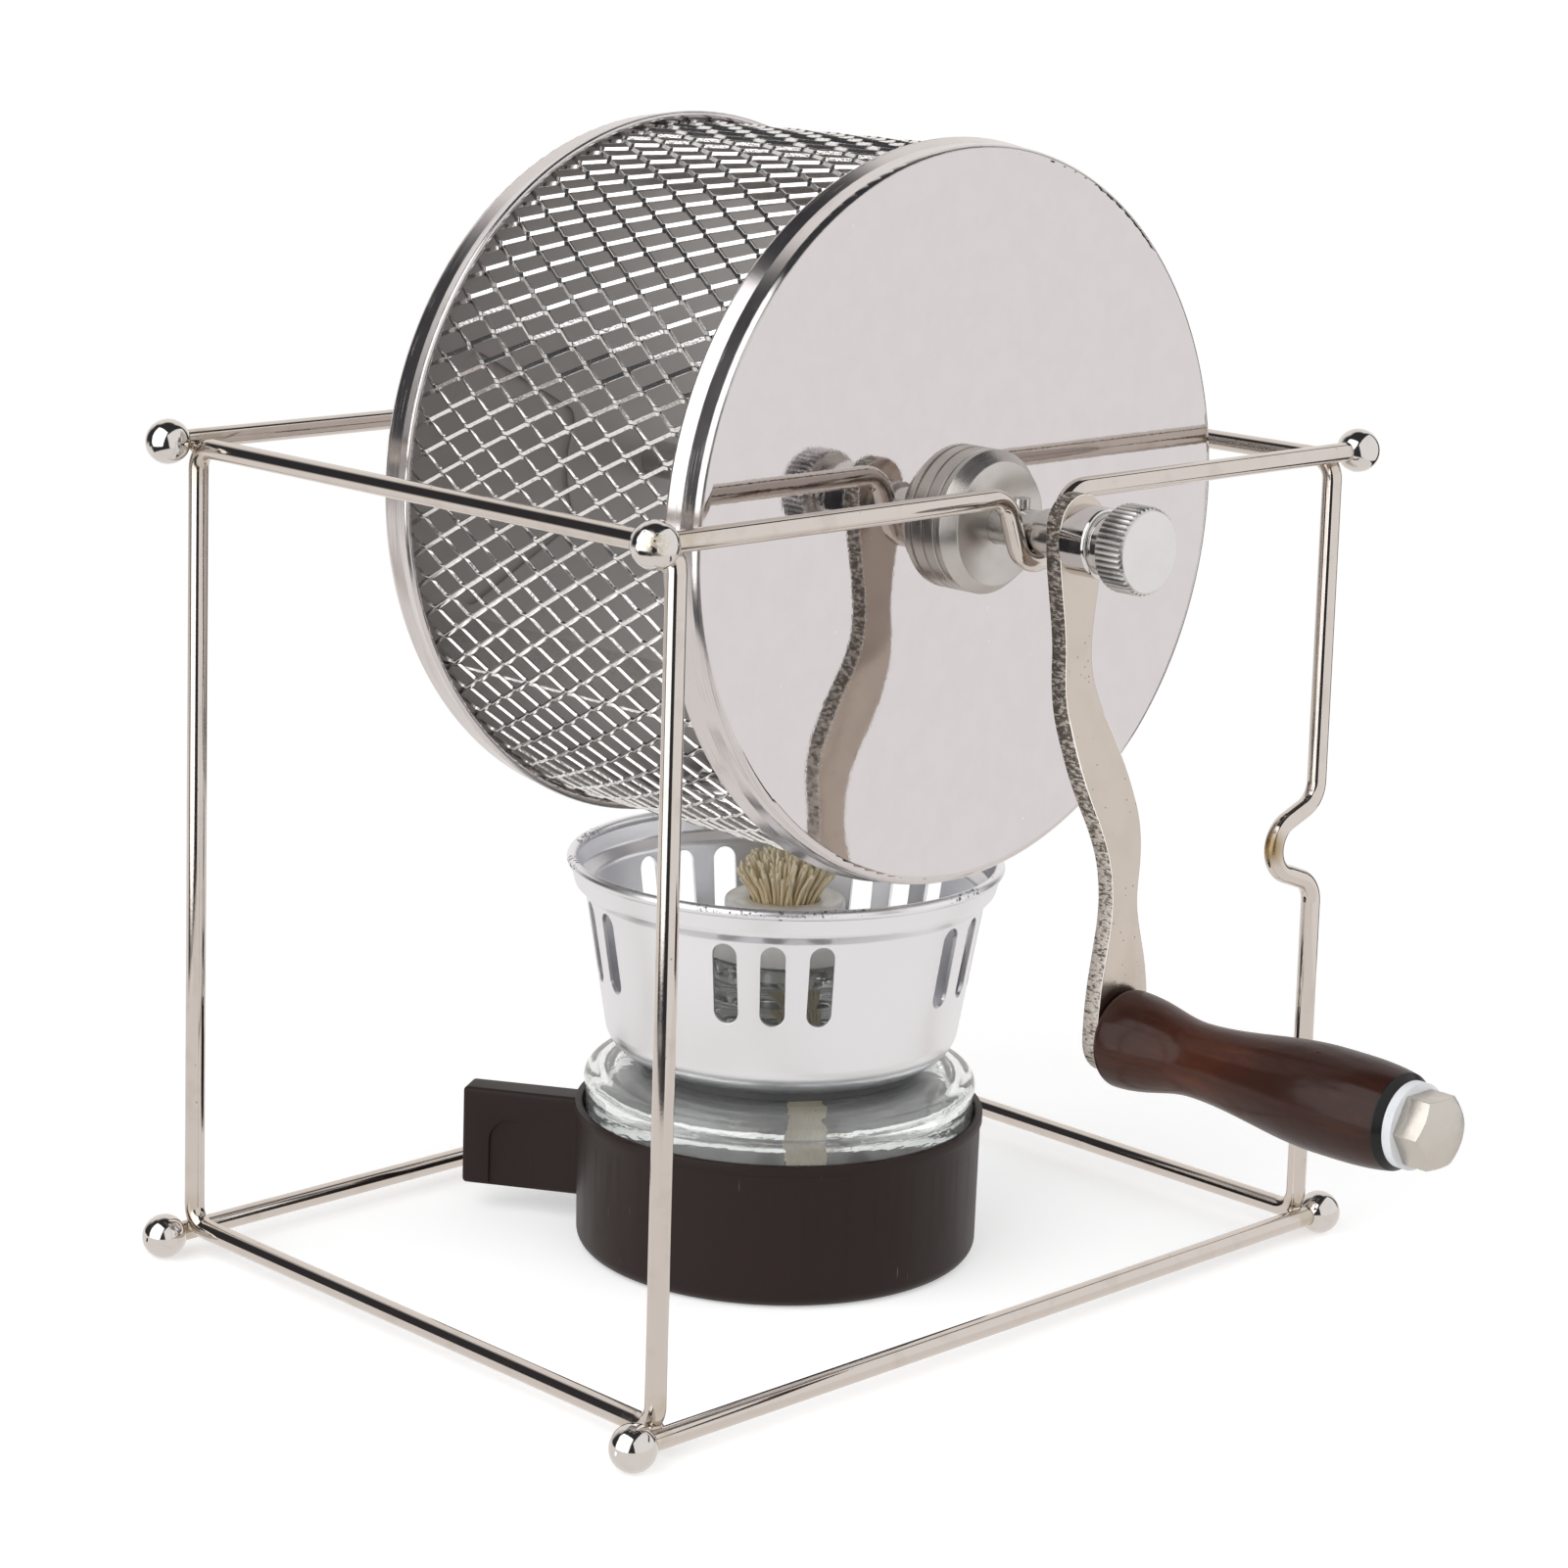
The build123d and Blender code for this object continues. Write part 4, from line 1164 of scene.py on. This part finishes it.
    def add_hems(self) -> None:
        """Roll a hem on the mesh side of each cap's band."""
        for cap, inner_side in (("front_cap", 1), ("rear_cap", 0)):
            low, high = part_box(cap)
            radius = (high.x - low.x) / (2 * MM) - self.hem_radius
            section = arc((0.0, radius), self.hem_radius, 0.0, 360.0, 14)
            centre = Vector((0.0, (low, high)[inner_side].y, self.centre().z))
            hem = Workshop.lathe(f"{cap}_hem", section, centre, ALONG_AXLE, self.hem_steps)
            Workshop.smooth(hem, 60.0)
            Workshop.dress(hem, SHEET, Body.DRUM, "cap_steel")


@dataclass
class Crank:
    """Crank: flat arm, collar, thumb nut, wooden grip, washer and bolt."""

    shop: Workshop
    arm_edge: float = 0.55
    knurl_edge: float = 0.10
    bolt_edge: float = 0.25

    def build(self) -> None:
        """Round the edges of the flat and knurled pieces and paint the turned ones."""
        arm = self.shop.refined("crank_arm_bar", "crank_arm", self.arm_edge, 3)
        Workshop.dress(arm, ARM, Body.DRUM, "arm_steel", ["crank_arm"])
        nut = self.shop.refined("thumb_nut_knurled", "thumb_nut", self.knurl_edge, sharp=25.0)
        Workshop.dress(nut, NUT_STEEL, Body.NUT, "hub_steel", ["thumb_nut"])
        bolt = self.shop.refined("grip_bolt_hex", "grip_bolt", self.bolt_edge)
        Workshop.dress(bolt, BOLT, Body.DRUM, "bolt_nickel", ["grip_bolt"])
        self.shop.paint_nodes({"crank_collar": COLLAR, "wooden_grip": WOOD, "grip_washer": NYLON})


@dataclass
class SpiritBurner:
    """Spirit burner: moulded base, glass bottle, seat, wick holder, cotton wick and slotted windshield.

    Outlines are lists of points. Those of the bottle's sides and shoulder hold a height and a distance in
    from its side, those of its neck a height and a radius; inner_heel counts from the bottle's bottom,
    sleeve_foot from its rim and sleeve_mouth down from the holder's top.
    """

    shop: Workshop
    base_edge: float = 0.3
    heel_radius: float = 4.0
    heel_inset: float = 4.8
    side_edge: Sequence[Point] = ((35.6, 0.35), (36.2, 0.0))
    shoulder_height: float = 36.4
    shoulder_radius: float = 3.2
    shoulder_slope: Sequence[Point] = ((40.3, 5.0), (40.8, 7.0), (41.0, 9.5))
    neck_foot: Sequence[Point] = ((41.0, 19.4), (42.2, 18.0))
    neck_radius: float = 18.0
    neck_ridges: Sequence[float] = (48.5, 52.8, 57.1, 61.4)
    ridge_height: float = 0.7
    ridge_half: float = 1.0
    neck_bore: float = 15.5
    lip_edge: float = 0.6
    bore_foot: Sequence[Point] = ((41.0, 15.5), (38.8, 17.5))
    inner_shoulder: Sequence[Point] = ((38.2, 9.0), (36.6, 4.6), (33.0, 2.6))
    inner_heel: Sequence[Point] = ((6.0, 3.2), (3.4, 5.2), (2.5, 9.0))
    bottle_floor: float = 2.5
    bottle_steps: int = 144
    flange_skirt: float = 2.5
    flange_sheet: float = 2.0
    flange_edge: float = 0.8
    skirt_edge: float = 0.4
    skirt_gap: float = 0.1
    plug_radius: float = 15.3
    plug_edge: float = 0.7
    holder_bore: float = 7.3
    sleeve_radius: float = 13.0
    sleeve_edge: float = 1.1
    sleeve_foot: Sequence[Point] = ((2.0, 13.9), (2.2, 13.3), (2.8, 13.0))
    sleeve_mouth: Sequence[Point] = ((0.0, 8.4), (0.4, 7.6), (1.2, 7.3))
    holder_steps: int = 96
    strands: int = 210
    strand_radius: float = 0.40
    strand_seed: int = 11
    fan_radius: float = 11.6
    root_radius: float = 6.6
    curl_reach: float = 1.6
    tail_aside: Point = (4.6, -4.5)
    tail_bend: float = 20.0

    def build(self) -> None:
        """Paint the spun and moulded pieces and model the glass, the holder and the wick."""
        base = self.shop.refined("burner_base_moulded", "burner_base", self.base_edge, sharp=40.0)
        Workshop.dress(base, PLASTIC, Body.BURNER, "base_plastic", ["burner_base"])
        self.shop.paint_nodes({"windshield": ALUMINIUM, "windshield_seat": SHADE_SEAT})
        self.add_bottle()
        self.add_holder()
        self.add_wick()

    def axis_point(self) -> Vector:
        """The burner's axis at the floor."""
        low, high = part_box("glass_bottle")
        return Vector((0.5 * (low.x + high.x), 0.5 * (low.y + high.y), 0.0))

    def add_bottle(self) -> None:
        """Turn the bottle with a thick wall, a rounded shoulder and ridges on its neck."""
        low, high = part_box("glass_bottle")
        side = (high.x - low.x) / (2 * MM)
        bottom = low.z / MM
        top = high.z / MM - self.flange_skirt
        heel, shoulder, neck = side - self.heel_inset, side - self.shoulder_radius, self.neck_radius
        outline = [(bottom, 0.0), (bottom, heel)]
        outline += arc((bottom + self.heel_radius, heel), self.heel_radius, 180.0, 90.0, 6)
        outline += [(height, side - inset) for height, inset in self.side_edge]
        outline += arc((self.shoulder_height, shoulder), self.shoulder_radius, 90.0, 12.0, 8)
        outline += [(height, side - inset) for height, inset in self.shoulder_slope]
        outline += self.neck_foot
        for ridge in self.neck_ridges:
            crest = (ridge, neck + self.ridge_height)
            outline += [(ridge - self.ridge_half, neck), crest, (ridge + self.ridge_half, neck)]
        outline += [(top - self.lip_edge, neck), (top, neck - self.lip_edge)]
        outline += [(top, self.neck_bore + self.lip_edge), (top - self.lip_edge, self.neck_bore)]
        outline += self.bore_foot
        outline += [(height, side - inset) for height, inset in self.inner_shoulder]
        outline += [(bottom + rise, side - inset) for rise, inset in self.inner_heel]
        outline += [(bottom + self.bottle_floor, 0.0)]
        bottle = Workshop.lathe("bottle_pressed", outline, self.axis_point(), UPWARD, self.bottle_steps)
        Workshop.smooth(bottle, 50.0)
        Workshop.dress(bottle, GLASS, Body.BURNER, "bottle_glass", ["glass_bottle"])

    def add_holder(self) -> None:
        """Turn the wick's holder: a plug, a flange whose skirt covers the neck's rim, and a sleeve."""
        low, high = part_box("wick_holder")
        bottom, top = low.z / MM, high.z / MM
        flange = (high.x - low.x) / (2 * MM)
        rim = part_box("glass_bottle")[1].z / MM
        skirt = rim - self.flange_skirt + self.skirt_gap
        flange_top = rim + self.flange_sheet
        plug, skirt_edge, flange_edge = self.plug_radius, self.skirt_edge, self.flange_edge
        mouth = (top - self.sleeve_edge, self.sleeve_radius - self.sleeve_edge)
        outline = [(bottom, self.holder_bore), (bottom, plug - self.plug_edge)]
        outline += [(bottom + self.plug_edge, plug), (skirt, plug), (skirt, flange - skirt_edge)]
        outline += arc((skirt + skirt_edge, flange - skirt_edge), skirt_edge, 180.0, 90.0, 3)
        outline += arc((flange_top - flange_edge, flange - flange_edge), flange_edge, 90.0, 0.0, 5)
        outline += [(rim + rise, radius) for rise, radius in self.sleeve_foot]
        outline += arc(mouth, self.sleeve_edge, 90.0, 0.0, 6)
        outline += [(top - drop, radius) for drop, radius in self.sleeve_mouth]
        outline += [(bottom, self.holder_bore)]
        holder = Workshop.lathe("wick_holder_glazed", outline, self.axis_point(), UPWARD, self.holder_steps)
        Workshop.smooth(holder, 40.0)
        Workshop.dress(holder, GLAZE, Body.BURNER, "holder_white", ["wick_holder"])

    def add_strands(self, curve: bpy.types.Curve) -> None:
        """Fan strands out of the holder, with their lower ends hanging into the bottle.

        Args:
            curve: gets one spline per strand.
        """
        floor, tip = (corner.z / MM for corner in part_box("wick"))
        holder_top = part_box("wick_holder")[1].z / MM
        centre = self.axis_point()
        golden = math.pi * (3.0 - math.sqrt(5.0))
        aside = Vector((*self.tail_aside, 0.0))
        chance = random.Random(self.strand_seed)
        for strand in range(self.strands):
            share = math.sqrt((strand + 0.5) / self.strands)
            angle = strand * golden
            lean = Vector((math.cos(angle), math.sin(angle), 0.0))
            curl = Vector((-lean.y, lean.x, 0.0)) * chance.uniform(-self.curl_reach, self.curl_reach)
            reach = self.fan_radius * share * chance.uniform(0.88, 1.0)
            rise = tip - (tip - holder_top) * 0.42 * share**3 - chance.uniform(0.2, 2.2)
            droop = reach * chance.uniform(0.96, 1.02)
            root = self.root_radius * share
            # Distance from the axis, height, share of the curl, share of the tail's way aside.
            route = [
                (root * 0.55, floor, 0.0, 1.0),
                (root * 0.60, floor + self.tail_bend, 0.0, 1.0),
                (root * 0.65, 0.5 * (floor + holder_top), 0.0, 0.8),
                (root, holder_top - 6.0, 0.0, 0.0),
                (root, holder_top - 1.0, 0.0, 0.0),
                (0.5 * (root + reach), holder_top + 0.55 * (rise - holder_top), 0.6, 0.0),
                (reach, rise - 0.6, 1.0, 0.0),
                (droop, rise, 1.2, 0.0),
            ]
            spline = curve.splines.new("NURBS")
            spline.points.add(len(route) - 1)
            spline.order_u = 3
            spline.use_endpoint_u = True
            for point, (out, height, sway, hang) in zip(spline.points, route):
                place = centre + MM * (out * lean + sway * curl + hang * aside + Vector((0.0, 0.0, height)))
                point.co = (*place, 1.0)
                point.radius = 1.0 if height < holder_top else chance.uniform(0.8, 1.15)

    def add_wick(self) -> None:
        """Make the wick of thin round strands."""
        curve = bpy.data.curves.new("wick_strands", "CURVE")
        curve.dimensions = "3D"
        curve.bevel_depth = self.strand_radius * MM
        curve.bevel_resolution = 1
        curve.resolution_u = 3
        self.add_strands(curve)
        wick = bpy.data.objects.new("wick_strands", curve)
        bpy.context.scene.collection.objects.link(wick)
        Workshop.activate(wick)
        bpy.ops.object.convert(target="MESH")
        wick = Workshop.named("wick_strands")
        Workshop.smooth(wick, 80.0)
        Workshop.dress(wick, COTTON, Body.BURNER, "wick_cotton", ["wick"])


@dataclass
class Softbox:
    """A large soft lamp that looks at the roaster, placed by its direction from the camera's own.

    Its bearing and height are degrees, its distance and size metres, its brightness is 1 for white.
    """

    name: str
    bearing: float
    height: float
    distance: float
    size: Point
    brightness: float

    def build(self, toward_camera: float, target: Vector) -> None:
        """Add the lamp.

        Args:
            toward_camera: the camera's own bearing, in degrees from +X.
            target: the point that it faces, in metres.
        """
        lamp = bpy.data.lights.new(self.name, "AREA")
        lamp.shape = "RECTANGLE"
        lamp.size, lamp.size_y = self.size
        lamp.energy = self.brightness * math.pi * self.size[0] * self.size[1]
        turn, rise = math.radians(toward_camera + self.bearing), math.radians(self.height)
        away = Vector((math.cos(turn) * math.cos(rise), math.sin(turn) * math.cos(rise), math.sin(rise)))
        holder = bpy.data.objects.new(self.name, lamp)
        holder.location = target + self.distance * away
        holder.rotation_euler = away.to_track_quat("Z", "Y").to_euler()
        holder.visible_camera = False
        bpy.context.scene.collection.objects.link(holder)


@dataclass
class Studio:
    """Camera, floor, soft lamps and the room around the roaster.

    The room's pale parts are bounded in degrees, each from where it begins to where it is full: bearings
    from the camera's own, heights from the horizon.
    """

    azimuth: float = -44.432
    elevation: float = 9.081
    roll: float = 1.673
    focal_pixels: float = 4064.588
    image_pixels: int = 1601
    lens_shift: float = -0.18935
    sensor: float = 36.0
    eye: Place = (-578.548, -592.882, 299.179)
    lamp_target: Place = (0.0, 0.0, 120.0)
    table_radius: float = 330.0
    table_paper: Colour = (0.80, 0.80, 0.80)
    table_glow: float = 0.4
    table_mirrored: float = 0.95
    white: Colour = (1.0, 1.0, 1.0)
    pale: Colour = (1.0, 0.975, 0.955)
    gloom: Colour = (0.04, 0.04, 0.045)
    room_light: Colour = (0.35, 0.35, 0.35)
    backdrop_left: Point = (-118.0, -143.0)
    backdrop_right: Point = (136.0, 148.0)
    backdrop_top: Point = (64.0, 50.0)
    sweep_side: Point = (-80.0, -96.0)
    sweep_top: Point = (-2.0, -16.0)
    lamps: list[Softbox] = field(
        default_factory=lambda: [
            Softbox("left_softbox", -48.0, 24.0, 1.1, (1.35, 1.85), 2.0),
            Softbox("right_card", 66.0, 14.0, 0.95, (3.0, 2.2), 1.0),
        ]
    )

    def build(self) -> None:
        """Set the colour view and add camera, floor, lamps and room."""
        bpy.context.scene.view_settings.view_transform = "Standard"
        self.add_camera()
        self.add_floor()
        for lamp in self.lamps:
            lamp.build(self.azimuth - 90.0, MM * Vector(self.lamp_target))
        self.add_room()

    def add_camera(self) -> None:
        """Stand the camera where the photograph was taken."""
        turn, rise, roll = (math.radians(angle) for angle in (self.azimuth, self.elevation, self.roll))
        back = Vector((math.sin(turn) * math.cos(rise), -math.cos(turn) * math.cos(rise), math.sin(rise)))
        right = Vector((math.cos(turn), math.sin(turn), 0.0))
        up = back.cross(right)
        rolled_right = math.cos(roll) * right + math.sin(roll) * up
        rolled_up = math.cos(roll) * up - math.sin(roll) * right
        camera = bpy.data.cameras.new("photo_camera")
        camera.sensor_width = self.sensor
        camera.lens = self.sensor * self.focal_pixels / self.image_pixels
        camera.shift_y = self.lens_shift
        camera.clip_start = 0.01
        holder = bpy.data.objects.new("photo_camera", camera)
        turned = Matrix((rolled_right, rolled_up, back)).transposed().to_4x4()
        holder.matrix_world = Matrix.Translation(MM * Vector(self.eye)) @ turned
        bpy.context.scene.collection.objects.link(holder)
        bpy.context.scene.camera = holder

    def add_floor(self) -> None:
        """Lay a pale round table top that looks white where nothing shades it."""
        Workshop.clear()
        bpy.ops.mesh.primitive_circle_add(vertices=96, radius=self.table_radius * MM, fill_type="NGON")
        floor = Workshop.named("table_top")
        paper = bpy.data.materials.new("table_paper")
        paper.use_nodes = True
        graph = Graph(paper.node_tree)
        seen = graph.rays("Camera", "Transmission")
        matt = graph.node("BsdfDiffuse", {"Color": self.table_paper})
        glow = graph.node("Emission", {"Color": self.white, "Strength": seen * self.table_glow})
        lit = graph.node("AddShader", {0: matt.outputs[0], 1: glow.outputs[0]})
        mirrored = graph.node("Emission", {"Color": self.pale, "Strength": self.table_mirrored})
        sides = {0: graph.rays("Glossy"), 1: lit.outputs[0], 2: mirrored.outputs[0]}
        graph.node("OutputMaterial", {0: graph.node("MixShader", sides).outputs[0]})
        floor.data.materials.append(paper)

    def add_room(self) -> None:
        """White to the camera, and to metal a dim room with a pale backdrop behind the roaster."""
        world = bpy.data.worlds.new("studio_room")
        bpy.context.scene.world = world
        world.use_nodes = True
        graph = Graph(world.node_tree)
        heading = graph.node("TexCoord").outputs["Generated"]
        turn = math.radians(self.azimuth)
        sideways = graph.dot(heading, (math.cos(turn), math.sin(turn), 0.0))
        ahead = graph.dot(heading, (math.sin(turn), -math.cos(turn), 0.0))
        bearing = sideways.math("ARCTAN2", sideways, ahead)
        upward = graph.axes(heading)[2]
        height = upward.math("ARCSINE", upward)
        behind = self.rise(bearing, self.backdrop_left).larger(self.rise(bearing, self.backdrop_right))
        backdrop = behind * self.rise(height, self.backdrop_top)
        sweep = self.rise(bearing, self.sweep_side) * self.rise(height, self.sweep_top)
        room = graph.mix(backdrop.larger(sweep), self.gloom, self.pale)
        metal = graph.mix(graph.rays("Glossy"), self.room_light, room)
        colour = graph.mix(graph.rays("Camera", "Transmission"), metal, self.white)
        background = graph.node("Background", {"Color": colour, "Strength": 1.0})
        graph.node("OutputWorld", {0: background.outputs[0]})

    @staticmethod
    def rise(angle: Value, limits: Point) -> Value:
        """A smooth step of an angle between two limits in degrees."""
        return angle.step(*(math.radians(limit) for limit in limits))


def main() -> None:
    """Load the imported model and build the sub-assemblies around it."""
    logging.basicConfig(level=logging.INFO, format="%(message)s")
    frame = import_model()
    shop = Workshop(frame["nodes"])
    for assembly in (WireStand(shop), Drum(shop), Crank(shop), SpiritBurner(shop), Studio()):
        assembly.build()


if __name__ == "__main__":
    main()
